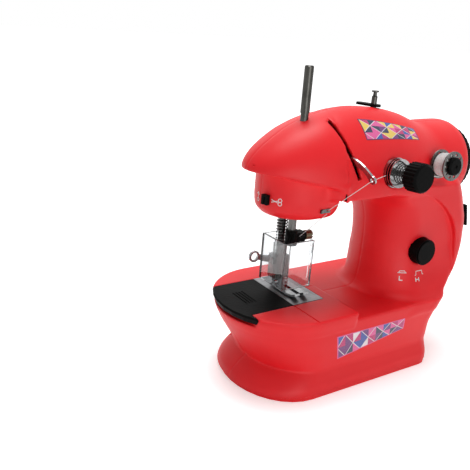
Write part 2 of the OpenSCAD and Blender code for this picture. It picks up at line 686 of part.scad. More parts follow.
module tension_cap() color(steel) leaning(tension_at) difference() {
    union() {
        translate([0, 0, knob_w - 0.6 - run]) cylinder(r = 6, h = 0.6);
        translate([0, 0, knob_w - 5]) cylinder(r = 3.2, h = 4.8 - run);
    }
    translate([0, 0, knob_w - 5 - cut]) cylinder(r = 2 + run, h = 5 + 2*cut);
}
module tension_knob() color(black) leaning(tension_at) translate([0, 0, knob_w]) difference() {
    union() {
        cylinder(r = knob_r, h = knob_len - 1.5);
        translate([0, 0, knob_len - 1.5]) cylinder(r1 = knob_r, r2 = knob_r - 1.5, h = 1.5);
    }
    for (i = [0:23]) rotate(15*i) translate([knob_r + 0.6, 0, -cut]) cylinder(r = 1.1, h = knob_len + 2*cut);
}

module bobbin_spindle() color(black) leaning(bobbin_at) {
    translate([0, 0, -6]) cylinder(r = spindle_r, h = 6 + bobbin_w + bobbin_len + 1);
    cylinder(r = spindle_flange_r, h = bobbin_w - gap);
}
cap_z = bobbin_w + bobbin_len + gap;
module spindle_cap() color(black) leaning(bobbin_at) translate([0, 0, cap_z]) difference() {
    union() {
        cylinder(r = 6.2, h = 1.6);
        translate([0, 0, 1.6]) cylinder(r1 = 6.2, r2 = 5.2, h = 0.8);
    }
    translate([0, 0, -cut]) cylinder(r = spindle_r + run, h = 2.2);
    translate([0, 0, 1.8]) cylinder(r = 1.2, h = 2);
}
flange_t = 0.9;
module bobbin() color(chrome) leaning(bobbin_at) translate([0, 0, bobbin_w]) difference() {
    union() {
        cylinder(r = bobbin_core_r, h = bobbin_len);
        for (z = [0, bobbin_len - flange_t]) translate([0, 0, z]) cylinder(r = bobbin_r, h = flange_t);
    }
    translate([0, 0, -cut]) cylinder(r = spindle_r + run, h = bobbin_len + 2*cut);
    for (i = [0:9]) rotate(36*i) translate([bobbin_r - 2.6, 0, -cut])
        cylinder(r = 1.1, h = bobbin_len + 2*cut);
}
wound_len = bobbin_len - 2*flange_t - 0.4;
wound_pitch = (wound_len - 2*thread_d)/thread_turns;
wound_points = [for (i = [0:24*thread_turns]) let (a = 15*i)
    [thread_wound_r*cos(a), thread_wound_r*sin(a), thread_d + wound_pitch*i/24]];
module bobbin_thread() color("white") leaning(bobbin_at) translate([0, 0, bobbin_w + flange_t + 0.2]) {
    difference() {
        cylinder(r = thread_wound_r*cos(7.5) - thread_d/2 - 2*run, h = wound_len);
        translate([0, 0, -cut]) cylinder(r = bobbin_core_r + run, h = far);
    }
    tube(wound_points, thread_d/2, 6);
}

module speed_button() color(black) {
    face = -column_half - button_out;
    rod_y(button_r - 1, face, face + 1, button_at[0], button_at[1]);
    rod_y(button_r, face + 1, flange_y + 1, button_at[0], button_at[1]);
    rod_y(button_r + 1.4, flange_y, flange_y + 1.4, button_at[0], button_at[1]);
    rod_y(3, flange_y + 1, flange_y + 3, button_at[0], button_at[1]);
}
module speed_switch() color(black) {
    y = flange_y + 3 + button_travel + gap;
    back = drive_y - pulley_r - 2*gap - belt_t;
    box([button_at[0] - 8, y, button_at[1] - 8], [button_at[0] + 8, back, button_at[1] + 8]);
    for (s = [-1, 1]) {
        x = button_at[0] + s*(button_r + 4.6);
        box([min(x, button_at[0]), y, button_at[1] - 3], [max(x, button_at[0]), y + 1.6, button_at[1] + 3]);
        wall_y = -slice_depth(at_height(column_rings, button_at[1] + 3), s < 0 ? x : x - 2) + wall + 2*gap;
        box([min(x, x - 2*s), wall_y, button_at[1] - 3], [max(x, x - 2*s), y + 1, button_at[1] + 3]);
    }
}

module power_switch() color(black) switch_place() difference() {
    union() {
        translate([-12, -rocker_w/2 - 0.8, -rocker_h/2 - 0.8]) cube([13.4, rocker_w + 1.6, rocker_h + 1.6]);
        translate([0.9, -rocker_w/2 - 2, -rocker_h/2 - 2]) cube([1.6, rocker_w + 4, rocker_h + 4]);
    }
    translate([-5, -rocker_w/2, -rocker_h/2]) cube([far, rocker_w, rocker_h]);
    translate([0, -far/2, -0.5]) along_y() cylinder(r = 1 + run, h = far);
}
module power_rocker() color(black) switch_place() {
    along_y() linear_extrude(rocker_w - 2*gap, center = true)
        polygon([[-3, 0], [0.6, 0.5 - rocker_h/2 + 1], [3.4, 0.5 - rocker_h/2 + 0.8], [3.2, 0.5],
            [3.4, 0.5 + rocker_h/2 - 0.8 - 1], [0.6, 0.5 + rocker_h/2 - 1 - 1]]);
    translate([0, -rocker_w/2 - 0.6, -0.5]) along_y() cylinder(r = 1, h = rocker_w + 1.2);
}

jack_places = [[62, 34], [44, 34]];
jack_bore_r = [2.75, 1.75];
module jacks() color(black) for (i = [0, 1]) {
    p = jack_places[i];
    face = slice_depth(at_height(base_rings, p[1] + 6.4), p[0]) + 0.1;
    difference() {
        union() {
            rod_y(5, face - 13, face, p[0], p[1]);
            rod_y(6.4, face, face + 1.2, p[0], p[1]);
        }
        rod_y(jack_bore_r[i], face - 10, face + 3, p[0], p[1]);
    }
    if (i == 0) rod_y(0.9, face - 10.5, face - 0.5, p[0], p[1]);
}

// The cutter sits on the head's rounded left end, at this angle round it
cutter_turn = 13;
cutter_at = [head_left + 30 - (30 + 1.4)*cos(cutter_turn), -(head_half + 1.4)*sin(cutter_turn), 132];
module thread_cutter() color(black) translate(cutter_at) rotate([0, 0, cutter_turn - 88]) difference() {
    translate([-2.5, -1.4, -3.2]) cube([5, 2.6, 6.4]);
    translate([-0.4, -2, -4]) cube([0.8, 1.6, 6]);
}
guide_at = [-30, -slice_depth(at_height(head_rings, 126.6), -30), 126.6];
module head_guide() color(steel) translate(guide_at) {
    rod_y(1.2, -1.8, -0.9, -3, 0);
    translate([0, -0.6, 0]) rotate([0, 0, 0]) difference() {
        translate([-4, -0.4, -1.4]) cube([8, 0.8, 2.6]);
        translate([0.5, -cut, -0.2]) cube([6, 3, 0.8]);
    }
}

module main_shaft() color(steel) rod_x(shaft_r, needle_x + 11.5, pod_end + wheel_w + 1, drive_y, shaft_z);
crank_x = needle_x + 9.5;
module crank_disc() color(steel) {
    difference() {
        rod_x(crank_r + 3, crank_x, crank_x + 4, drive_y, shaft_z);
        rod_x(shaft_r, crank_x + 2, crank_x + 5, drive_y, shaft_z);
    }
    rod_x(2, crank_x - 3.2, crank_x + 1, drive_y, shaft_z + crank_r);
}
// Gear outline with slim straight-sided teeth, so that meshing teeth keep some play
function gear_points(n) = let (r = gear_module*n/2, p = 360/n)
    [for (i = [0:n - 1]) for (q = [[-0.27, -1.15], [-0.12, 0.9], [0.12, 0.9], [0.27, -1.15]])
        let (a = p*(i + q[0]), d = r + gear_module*q[1]) d*[cos(a), sin(a)]];
module gear(n, w, turn) rotate(turn) linear_extrude(w) polygon(gear_points(n));
module drive_gear() color("white") translate([gear_x, drive_y, shaft_z]) along_x() difference() {
    gear(gear_teeth, gear_w, 0);
    translate([0, 0, -cut]) cylinder(r = shaft_r, h = gear_w + 2*cut);
    for (i = [0:4]) rotate(72*i + 36) translate([gear_module*gear_teeth*0.29, 0, -cut])
        cylinder(r = 4.5, h = gear_w + 2*cut);
}
module flanged_pulley(z, bore) translate([pulley_x - 1, drive_y, z]) along_x() difference() {
    union() {
        cylinder(r = pulley_r + 2.4, h = 0.9);
        cylinder(r = pulley_r, h = pulley_w + 1);
    }
    translate([0, 0, -cut]) cylinder(r = bore, h = far);
}
module upper_pulley() color("white") flanged_pulley(shaft_z, shaft_r);
module lower_pulley() color("white") flanged_pulley(lower_z, lower_r);

module handwheel() color(black) translate([pod_end + 1.2, drive_y, shaft_z]) along_x() difference() {
    rotate_extrude() polygon([[0, 0], [wheel_r - 1.5, 0], [wheel_r, 1.5], [wheel_r, wheel_w - 2],
        [wheel_r - 2, wheel_w], [wheel_r - 5, wheel_w], [wheel_r - 7, wheel_w - 2], [8, wheel_w - 2],
        [7, wheel_w + 1], [0, wheel_w + 1]]);
    translate([0, 0, -cut]) cylinder(r = shaft_r, h = wheel_w + cut);
    for (i = [0:wheel_grips - 1]) rotate(360*i/wheel_grips) translate([wheel_r + 0.5, 0, 1])
        cylinder(r = 1.2, h = wheel_w + cut);
}

module motor_pinion() color(brass) {
    rod_x(1, gear_x - 2.4, gear_x + gear_w + 0.5, drive_y, motor_z);
    difference() {
        translate([gear_x, drive_y, motor_z]) along_x() gear(pinion_teeth, gear_w, 180/pinion_teeth);
        rod_x(1, gear_x - cut, gear_x + gear_w + cut, drive_y, motor_z);
    }
}

module lower_shaft() color(steel) rod_x(lower_r, needle_x + 3.5, bearing_posts[1][1] + 0.5, drive_y, lower_z);
module hook() color(chrome) difference() {
    rod_x(hook_r, needle_x + 2, needle_x + 7, drive_y, lower_z);
    rod_x(hook_r - 2, needle_x + 1, needle_x + 4, drive_y, lower_z);
    rod_x(lower_r, needle_x + 3.5, needle_x + 8, drive_y, lower_z);
    translate([needle_x + 1, drive_y + 4, lower_z + hook_r - 5]) rotate([20, 0, 0]) cube([4, 12, 12]);
}

module needle_bar() color(steel) rod_z(needle_bar_r, clamp_z, bracket_top + 2, needle_x, drive_y);
module drive_yoke() color(steel) difference() {
    union() {
        box([needle_x - 4.5, drive_y - 4.6, yoke_z], [needle_x + 5.5, drive_y + 4.6, yoke_z + 8]);
        box([needle_x + 3, drive_y - 14, yoke_z], [needle_x + 5.5, drive_y + 14, yoke_z + 8]);
    }
    rod_z(needle_bar_r, 0, far, needle_x, drive_y);
    box([needle_x + 2.9, drive_y - 12, yoke_z + 2], [needle_x + far, drive_y - 4.7, yoke_z + 6]);
    box([needle_x + 2.9, drive_y + 4.7, yoke_z + 2], [needle_x + far, drive_y + 12, yoke_z + 6]);
}
module needle_clamp() color(black) difference() {
    union() {
        rod_z(needle_bar_r + 1.4, clamp_z - 1.6, clamp_z + clamp_h, needle_x, drive_y);
        box([needle_x + 1, drive_y - 3.4, clamp_z], [needle_x + 10, drive_y + 3.4, clamp_z + clamp_h - 2]);
    }
    rod_z(needle_bar_r, clamp_z, far, needle_x, drive_y);
    rod_z(needle_r, 0, clamp_z + 1, needle_x, drive_y);
    rod_x(1.2, needle_x + 5, needle_x + 12, drive_y, clamp_z + clamp_h/2 - 1);
}
module clamp_screw() color(brass) {
    z = clamp_z + clamp_h/2 - 1;
    rod_x(1.2, needle_x + 5, needle_x + 12, drive_y, z);
    difference() {
        rod_x(3.4, needle_x + 11.4, needle_x + 17, drive_y, z);
        box([needle_x + 16, drive_y - 5, z - 0.5], [needle_x + 18, drive_y + 5, z + 0.5]);
        for (i = [0:11]) translate([needle_x + 11, drive_y, z]) along_x() rotate(30*i) translate([3.7, 0, 0])
            cylinder(r = 0.55, h = 8);
    }
}
module needle() color(chrome) {
    rod_z(needle_r, needle_tip_z + 5, clamp_z, needle_x, drive_y);
    translate([needle_x, drive_y, needle_tip_z]) cylinder(r1 = 0.08, r2 = needle_r, h = 5);
}

module presser_bar() color(steel) rod_z(presser_bar_r, holder_z[0] + 4, bracket_top + 1, needle_x, bar_y);
spring_points = [for (i = [0:8*spring_curls]) let (a = 45*i)
    [spring_mid_r*cos(a), spring_mid_r*sin(a),
        lerp(spring_z[0] + spring_wire/2 + gap, spring_z[1] - spring_wire/2 - gap, i/(8*spring_curls))]];
module presser_spring() color([0.2, 0.2, 0.2]) translate([needle_x, bar_y, 0])
    tube(spring_points, spring_wire/2, 6);
module presser_holder() color(steel) difference() {
    union() {
        box([needle_x - 5.5, bar_y - 4.5, holder_z[0]], [needle_x + 5, bar_y + 4.5, holder_z[1] - 8]);
        rod_z(4.6, holder_z[1] - 9, holder_z[1], needle_x, bar_y);
        rod_x(2.6, needle_x - 7.4, needle_x - 5, bar_y - 1, holder_z[0] + 13);
        rod_y(1, bar_y + 4, lifter_at[1] + lifter_t + gap + cut, lifter_at[0], lifter_at[2]);
        head_y = lifter_at[1] + lifter_t + gap;
        rod_y(2, head_y, head_y + 1, lifter_at[0], lifter_at[2]);
    }
    rod_z(presser_bar_r, holder_z[0] + 4, far, needle_x, bar_y);
    box([needle_x - 7.6, bar_y - 1.4, holder_z[0]], [needle_x - 6.8, bar_y - 0.6, holder_z[1]]);
}
module presser_foot() color(chrome) {
    sole_z = land_z + 0.8;
    difference() {
        translate([0, 0, sole_z]) linear_extrude(1.4) hull() {
            translate([needle_x - 6, drive_y - 14]) square([12, 1]);
            translate([needle_x - 7, drive_y - 10]) square([14, 20]);
        }
        box([needle_x - 1.6, drive_y - far, 0], [needle_x + 1.6, drive_y + 2, far]);
    }
    translate([needle_x, drive_y - 14, sole_z]) mirror_x() translate([1.6, 0, 0]) rotate([155, 0, 0])
        translate([0, 0, -1.3]) cube([4.4, 4.5, 1.3]);
    box([needle_x - 2.2, drive_y + 5, sole_z + 1], [needle_x + 2.2, bar_y + 2.5, holder_z[0]]);
    rod_x(1.6, needle_x - 5.2, needle_x + 5.2, drive_y + 7, sole_z + 2.6);
}
module mirror_x() {
    children();
    mirror([1, 0, 0]) children();
}
module needle_guard() color([0.85, 0.9, 0.92, 0.4]) {
    y1 = bar_y - 2;
    box([guard_x, guard_y, guard_z], [guard_x + guard_w, guard_y + guard_t, guard_z + guard_h]);
    box([guard_x, guard_y, guard_z], [guard_x + guard_t, y1, guard_z + guard_h]);
    box([guard_x + guard_w - guard_t, guard_y, guard_z], [guard_x + guard_w, guard_y + 3, guard_z + guard_h]);
    box([guard_x, y1 - guard_t, guard_z], [needle_x - 5.5, y1, guard_z + guard_h]);
}
module lifter_lever() color(chrome) translate(lifter_at) rotate([90, 0, 180]) difference() {
    union() {
        cylinder(r = 3, h = lifter_t);
        linear_extrude(lifter_t) hull() {
            translate([2, 0]) circle(r = 2.4, $fn = 32);
            translate([lifter_len - 3, 2.6]) circle(r = 2, $fn = 32);
        }
        translate([lifter_len, 3.4, 0]) cylinder(r = 4.2, h = lifter_t);
    }
    translate([lifter_len, 3.4, -cut]) cylinder(r = 2.8, h = 4);
    translate([0, 0, -cut]) cylinder(r = 1 + run, h = 4);
}

// Outline of the lever's curved arm, over the top and back below, from its eye
lever_arm = [[17, 11.9], [12.5, 11.4], [8.5, 10], [5, 7.9], [2, 5.4], [-1, 2.8], [2.8, -0.9], [4.6, 2.2],
    [7.2, 4.4], [10.5, 6], [14, 6.9], [18, 7.2]];
module take_up_lever() color(chrome) slot_plane() rotate([90, 0, 90]) difference() {
    union() {
        translate([0, 0, -lever_t/2]) linear_extrude(lever_t) {
            polygon(concat([lever_pivot + [2, -3], lever_pivot + [2, 3]], [for (p = lever_arm) lever_eye + p]));
            translate(lever_eye) circle(r = 3);
            translate(lever_pivot) circle(r = 3);
        }
    }
    translate([lever_eye[0], lever_eye[1], -lever_t]) cylinder(r = 1.3, h = 4);
    translate([lever_pivot[0], lever_pivot[1], -lever_t]) cylinder(r = 1.5 + run, h = 4);
}

module feed_dog() color(steel) {
    z = land_z - 10;
    box([needle_x - 6.5, drive_y - 9, z], [needle_x - 2.8, drive_y + 11, z + 4.6]);
    box([needle_x + 2.8, drive_y - 9, z], [needle_x + 6.5, drive_y + 11, z + 4.6]);
    box([needle_x - 6.5, drive_y + 7, z], [needle_x + 6.5, drive_y + 11, z + 4.6]);
    for (s = [-1, 1]) difference() {
        box([needle_x + s*4.2 - 0.8, drive_y - 6.5, z + 4],
            [needle_x + s*4.2 + 0.8, drive_y + 6.5, land_z + 0.4]);
        for (i = [0:9]) translate([needle_x + s*4.2, drive_y - 6 + 1.3*i, land_z + 0.5]) rotate([45, 0, 0])
            cube([4, 0.7, 0.7], center = true);
    }
    rod_y(1.5, drive_y + 10, bar_y + 13.5, needle_x, land_z - 7.5);
}

module thread(route) color("white") tube(route, thread_d/2, 8);
module thread_to_tension() thread(route_tension);
module thread_to_take_up() thread(route_take_up);
module thread_to_guide() thread(route_guide);
module thread_to_needle() thread(route_needle);

echo(presser_spring_gap = coil_gap(spring_points, 8, spring_wire),
    tension_spring_gap = coil_gap(tension_spring_points, 8, tension_wire),
    bobbin_thread_gap = coil_gap(wound_points, 24, thread_d));

front_shell();
rear_shell();
base_plate();
battery_door();
battery_cells();
rubber_feet();
shell_screws();
needle_plate();
slide_cover();
head_bracket();
shaft_bearings();
motor();
motor_plate();
drive_belt();
bobbin_case();
spool_pin();
guide_plate();
guide_post();
tension_post();
tension_discs();
tension_spring();
tension_cap();
tension_knob();
bobbin_spindle();
spindle_cap();
bobbin();
bobbin_thread();
speed_button();
speed_switch();
power_switch();
power_rocker();
jacks();
thread_cutter();
head_guide();
main_shaft();
crank_disc();
drive_gear();
upper_pulley();
handwheel();
motor_pinion();
lower_shaft();
lower_pulley();
hook();
needle_bar();
drive_yoke();
needle_clamp();
clamp_screw();
needle();
presser_bar();
presser_spring();
presser_holder();
presser_foot();
needle_guard();
lifter_lever();
take_up_lever();
feed_dog();
thread_to_tension();
thread_to_take_up();
thread_to_guide();
thread_to_needle();
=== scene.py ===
# %% [markdown]
# # A toy sewing machine, dressed for its portrait
# The solids come from the CAD frame, in metres, and most pieces made here ride on one of its bodies.
# We start by loading the frame.

# %% Load the frame
import json
import math

import bpy
import numpy as np
from mathutils import Matrix, Vector


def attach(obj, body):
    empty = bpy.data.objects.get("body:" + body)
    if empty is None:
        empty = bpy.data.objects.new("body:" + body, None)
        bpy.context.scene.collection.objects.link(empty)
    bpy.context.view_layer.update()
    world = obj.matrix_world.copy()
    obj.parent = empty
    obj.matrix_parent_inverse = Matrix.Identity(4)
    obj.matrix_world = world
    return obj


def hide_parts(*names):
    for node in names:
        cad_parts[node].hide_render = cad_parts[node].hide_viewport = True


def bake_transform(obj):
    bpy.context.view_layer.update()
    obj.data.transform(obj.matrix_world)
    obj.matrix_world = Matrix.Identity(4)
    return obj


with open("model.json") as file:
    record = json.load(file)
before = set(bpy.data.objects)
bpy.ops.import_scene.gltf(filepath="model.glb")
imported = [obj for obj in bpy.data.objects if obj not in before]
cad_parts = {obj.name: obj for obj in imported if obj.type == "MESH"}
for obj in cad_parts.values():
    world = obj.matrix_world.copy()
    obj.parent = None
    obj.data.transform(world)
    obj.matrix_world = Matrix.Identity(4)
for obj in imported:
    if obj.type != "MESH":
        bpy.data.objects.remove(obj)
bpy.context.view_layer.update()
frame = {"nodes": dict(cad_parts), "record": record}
MM = 0.001

# %% [markdown]
# The camera comes first. Its place was fitted to the photograph: it stands in front of the machine's left
# end, looks slightly down, and is turned a little about its own axis, so the machine seems to lean.

# %% Camera
CAMERA_AT = Vector((-0.2914, -0.3161, 0.2408))
CAMERA_AIM = Vector((-0.0683, 0.01845, 0.10051))
CAMERA_ROLL = math.radians(4.07)
CAMERA_LENS = 48.18

camera_data = bpy.data.cameras.new("camera")
camera_data.lens = CAMERA_LENS
camera_data.sensor_width = 36
camera_data.clip_start = 0.01
camera = bpy.data.objects.new("camera", camera_data)
look = (CAMERA_AIM - CAMERA_AT).to_track_quat("-Z", "Y").to_matrix().to_4x4()
camera.matrix_world = Matrix.Translation(CAMERA_AT) @ look @ Matrix.Rotation(CAMERA_ROLL, 4, "Z")
bpy.context.scene.collection.objects.link(camera)
bpy.context.scene.camera = camera
print("camera", [round(v, 3) for v in CAMERA_AT])

# %% [markdown]
# Many pieces below are tubes that follow a line: threads, springs and the thread on the bobbin. One helper
# sweeps a ring of points along a path. A bevelled curve could do it too. The ring's frame is carried from step
# to step, so that the tube doesn't twist.

# %% Mesh helpers
def mesh_piece(name, points, faces, smooth=True):
    """A mesh object from points in metres."""
    data = bpy.data.meshes.new(name)
    data.from_pydata([tuple(p) for p in points], [], [tuple(f) for f in faces])
    data.update()
    if smooth:
        data.shade_smooth()
    piece = bpy.data.objects.new(name, data)
    bpy.context.scene.collection.objects.link(piece)
    return piece


def tube_mesh(name, path, radius, sides=10):
    """A closed tube of one radius along a path of points in metres."""
    path = np.asarray(path, float)
    along = np.gradient(path, axis=0)
    along /= np.linalg.norm(along, axis=1)[:, None]
    side = np.cross(along[0], (0.0, 0.0, 1.0) if abs(along[0][2]) < 0.9 else (1.0, 0.0, 0.0))
    turns = np.linspace(0, 2*np.pi, sides, endpoint=False)
    points, faces = [], []
    for k, (p, t) in enumerate(zip(path, along)):
        side = side - t*np.dot(side, t)
        side /= np.linalg.norm(side)
        other = np.cross(t, side)
        points += [p + radius*(side*math.cos(a) + other*math.sin(a)) for a in turns]
        if k:
            a, b = (k - 1)*sides, k*sides
            faces += [(a + i, a + (i + 1) % sides, b + (i + 1) % sides, b + i) for i in range(sides)]
    faces.append(tuple(reversed(range(sides))))
    faces.append(tuple(range(len(points) - sides, len(points))))
    return mesh_piece(name, points, faces)


def straight_path(start, end, steps=24):
    """Points on a straight line, given in millimetres and returned in metres."""
    u = np.linspace(0, 1, steps)[:, None]
    return (np.asarray(start, float)*(1 - u) + np.asarray(end, float)*u)*MM


# %% [markdown]
# The sewing thread runs taut in four stretches: from the bobbin to the tension discs, on to the eye of the
# take-up lever, down to the small guide on the head, and to the needle clamp. Each stretch is a thin tube
# on the route that the solids have. A stretch that ends on a moving piece stays where it is at rest, on no
# body.

# %% Upper thread
THREAD_D = 0.4
TENSION_AT, BOBBIN_AT = np.array([20.0, -33.234, 150.0]), np.array([66.8, -28.235, 152.0])
EYE_AT = np.array([-11.908, -45.5, 150.354])
ROUTES = {
    "thread_to_tension": (BOBBIN_AT + (-1.5, -8.1, -8), TENSION_AT + (10.3, -2.4, -1.5), None),
    "thread_to_take_up": (TENSION_AT + (-10.3, -2.4, -0.8), EYE_AT + (1.6, 0.1, -0.2), "take_up"),
    "thread_to_guide": (EYE_AT + (-0.9, -0.1, -0.8), (-29.4, -28.4, 127.6), "take_up"),
    "thread_to_needle": ((-30, -28, 125.1), (-28.6, -1.6, 101), "needle_slide"),
}
BEND_FROM = {"thread_to_needle": 0.36}  # how far along its way the point `bend` lies; it is worked out but not used, so no stretch bends

threads = {}
for node, (start, end, body) in ROUTES.items():
    path = straight_path(start, end)
    piece = tube_mesh(node.replace("thread_to", "upper_thread"), path, THREAD_D*MM/2)
    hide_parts(node)
    if body is None:
        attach(piece, "frame")
    elif node == "thread_to_guide":
        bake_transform(piece)
    else:
        bend = path[0] + BEND_FROM.get(node, 0.0)*(path[-1] - path[0])
        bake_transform(piece)
    threads[node] = piece

# %% [markdown]
# Finishes are node trees, and their maths reads better as sums and products than as lists of nodes. This
# small class wraps one output socket: `+`, `-` and `*` add Math nodes, and `node` adds any other kind of
# node, sets its options and joins its sockets.

# %% A socket that can be used in sums
class Wire:
    """One output socket of a node tree."""

    def __init__(self, tree, socket=None):
        self.tree, self.socket = tree, socket

    def node(self, kind, settings=None, out=0, **inputs):
        """Adds a node; inputs go by name, or by place as i0, i1 and so on."""
        made = self.tree.nodes.new(kind)
        for key, value in (settings or {}).items():
            if key == "stops":
                ramp = made.color_ramp
                while len(ramp.elements) < len(value):
                    ramp.elements.new(1.0)
                for stop, (place, colour) in zip(ramp.elements, value):
                    stop.position, stop.color = place, (*colour, 1.0)
            elif key == "interpolation":
                made.color_ramp.interpolation = value
            else:
                setattr(made, key, value)
        for key, value in inputs.items():
            socket = made.inputs[int(key[1:]) if key[1:].isdigit() else key.replace("_", " ")]
            if isinstance(value, Wire):
                self.tree.links.new(value.socket, socket)
            elif hasattr(value, "__len__") and socket.type == "RGBA":
                socket.default_value = (*value, 1.0)
            else:
                socket.default_value = value
        return Wire(self.tree, made.outputs[out])

    def math(self, operation, *others):
        values = {f"i{k}": v for k, v in enumerate([self, *others])}
        return self.node("ShaderNodeMath", {"operation": operation}, **values)

    def __add__(self, other):
        return self.math("ADD", other)

    def __sub__(self, other):
        return self.math("SUBTRACT", other)

    def __rsub__(self, other):
        return (self*-1) + other

    def __mul__(self, other):
        return self.math("MULTIPLY", other)

    __radd__, __rmul__ = __add__, __mul__

    def step(self, edge, soft=0.02):
        """0 below the edge and 1 above it, with a soft rise."""
        return self.node("ShaderNodeMapRange", {"interpolation_type": "SMOOTHSTEP"},
                         Value=self, From_Min=edge - soft, From_Max=edge + soft)

    def mix(self, first, second):
        """first where this value is 0, second where it is 1, as colours."""
        return self.node("ShaderNodeMix", {"data_type": "RGBA"}, out=2, i0=self, i6=first, i7=second)


def srgb(red, green, blue):
    """A colour as it is read off a screen, 0 to 255, in the linear numbers that shaders take."""
    def linear(v):
        v /= 255
        return v/12.92 if v <= 0.04045 else ((v + 0.055)/1.055)**2.4
    return linear(red), linear(green), linear(blue)


def grey(v):
    return v, v, v


def finish(name, **fixed):
    """A new material with its constants set; returns it, a wire to start from, and a way to link sockets."""
    material = bpy.data.materials.new(name)
    material.use_nodes = True
    tree = material.node_tree
    shader = tree.nodes["Principled BSDF"]
    for key, value in fixed.items():
        socket = shader.inputs[key.replace("_", " ")]
        socket.default_value = (*value, 1.0) if socket.type == "RGBA" and len(value) == 3 else value

    def link(**wires):
        for key, wire in wires.items():
            tree.links.new(wire.socket, shader.inputs[key.replace("_", " ")])
    return material, Wire(tree), link


def two_tone(wire, scale, detail, dark, pale):
    """A noise, and a colour that runs with it between two stops of [place, colour]."""
    place = wire.node("ShaderNodeTexCoord", out=3)
    noise = wire.node("ShaderNodeTexNoise", Vector=place, Scale=scale, Detail=detail)
    return noise, noise.node("ShaderNodeValToRGB", {"stops": [dark, pale]}, Fac=noise)


# %% [markdown]
# The red shell is satin moulded plastic. Real mouldings are never one flat red: the colour drifts a little
# with the melt, the gloss varies, and the skin has a fine orange-peel grain. All three come from noise at
# different sizes, read in object space so that they stay put on the part.

# %% Plastics
RED = srgb(240, 30, 38)
RED_WARM = srgb(243, 36, 42)
RED_DEEP = srgb(234, 25, 34)


def plastic(name, colours, rough, grain, gleam=0.3):
    """Moulded plastic: three near colours, a roughness range, a grain of the given bump, and its shine."""
    material, wire, link = finish(name, Metallic=0.0, Specular_IOR_Level=gleam)
    place = wire.node("ShaderNodeTexCoord", out=3)
    drift = wire.node("ShaderNodeTexNoise", Vector=place, Scale=14.0, Detail=3.0, Roughness=0.55)
    colour = drift.node("ShaderNodeValToRGB", {"stops": list(zip((0.3, 0.5, 0.72), colours))}, Fac=drift)
    speck = wire.node("ShaderNodeTexNoise", Vector=place, Scale=700.0, Detail=2.0)
    cloud = wire.node("ShaderNodeTexNoise", Vector=place, Scale=45.0, Detail=4.0)
    gloss = cloud*(rough[1] - rough[0]) + speck*0.06 + (rough[0] - 0.03)
    peel = wire.node("ShaderNodeTexNoise", Vector=place, Scale=420.0, Detail=1.0)
    bump = wire.node("ShaderNodeBump", Strength=grain, Distance=0.0004, Height=peel + speck*0.35)
    link(Base_Color=colour, Roughness=gloss, Normal=bump)
    return material


red_plastic = plastic("red_shell_plastic", (RED_DEEP, RED, RED_WARM), (0.4, 0.5), 0.1, gleam=0.34)
KNOB_BLACKS = grey(0.003), grey(0.004), grey(0.006)
black_plastic = plastic("black_knob_plastic", KNOB_BLACKS, (0.36, 0.5), 0.22, gleam=0.03)
GEAR_WHITES = (0.72, 0.71, 0.66), (0.78, 0.77, 0.73), (0.82, 0.81, 0.78)
white_plastic = plastic("white_gear_plastic", GEAR_WHITES, (0.4, 0.5), 0.1)
RUBBER_BLACKS = grey(0.014), grey(0.02), (0.03, 0.03, 0.029)
black_rubber = plastic("black_rubber", RUBBER_BLACKS, (0.7, 0.85), 0.5, gleam=0.15)
print("plastics made")

# %% [markdown]
# The metal pieces are turned, drawn or stamped, and each way of making leaves its marks. Stretching a noise
# along one axis gives fine parallel scratches, and a second noise varies the gloss as handling does. Polished
# metal shows its surroundings, and a white room would bleach it, so the metals are darker than in a book.

# %% Metals
def metal(name, colour, rough, streaks=(1500.0, 1500.0, 60.0), scratch=0.12):
    """Bare metal with fine scratches; streaks are the noise's scales along X, Y and Z."""
    material, wire, link = finish(name, Metallic=1.0)
    place = wire.node("ShaderNodeTexCoord", out=3)
    drawn = wire.node("ShaderNodeVectorMath", {"operation": "MULTIPLY"}, i0=place, i1=streaks)
    lines = wire.node("ShaderNodeTexNoise", Vector=drawn, Scale=1.0, Detail=3.0)
    haze = wire.node("ShaderNodeTexNoise", Vector=place, Scale=160.0, Detail=3.0)
    stops = [(0.3, tuple(c*0.4 for c in colour)), (0.7, colour)]
    shade = haze.node("ShaderNodeValToRGB", {"stops": stops}, Fac=haze*0.5 + lines*0.5)
    gloss = lines*0.12 + haze*0.14 + (rough - 0.12)
    bump = wire.node("ShaderNodeBump", Strength=scratch, Distance=0.0001, Height=lines)
    link(Base_Color=shade, Roughness=gloss, Normal=bump)
    return material


steel = metal("brushed_steel", (0.18, 0.175, 0.17), 0.26)
pin_steel = metal("dark_pin_steel", (0.07, 0.068, 0.062), 0.2)
plate_steel = metal("stamped_plate_steel", (0.3, 0.3, 0.31), 0.34, streaks=(70.0, 1600.0, 1600.0))
chrome = metal("polished_chrome", (0.5, 0.5, 0.51), 0.14, scratch=0.04)
spring_steel = metal("spring_wire", grey(0.055), 0.26)
brass = metal("turned_brass", (0.22, 0.18, 0.12), 0.28)
print("metals made")

# %% [markdown]
# The needle guard is clear acrylic, slightly cool, with faint scuffs that only change its gloss. Real
# transmission is used, so what stands behind the guard stays in view. The thread is matt spun polyester,
# with a fine noise for its fibres.

# %% Clear plastic and thread
def clear_guard():
    material, wire, link = finish("clear_guard_acrylic", Base_Color=(0.84, 0.86, 0.87), IOR=1.49,
                                  Transmission_Weight=1.0)
    place = wire.node("ShaderNodeTexCoord", out=3)
    scuff = wire.node("ShaderNodeTexNoise", Vector=place, Scale=90.0, Detail=6.0, Roughness=0.7)
    link(Roughness=scuff.step(0.62, 0.12)*0.16 + 0.03)
    return material


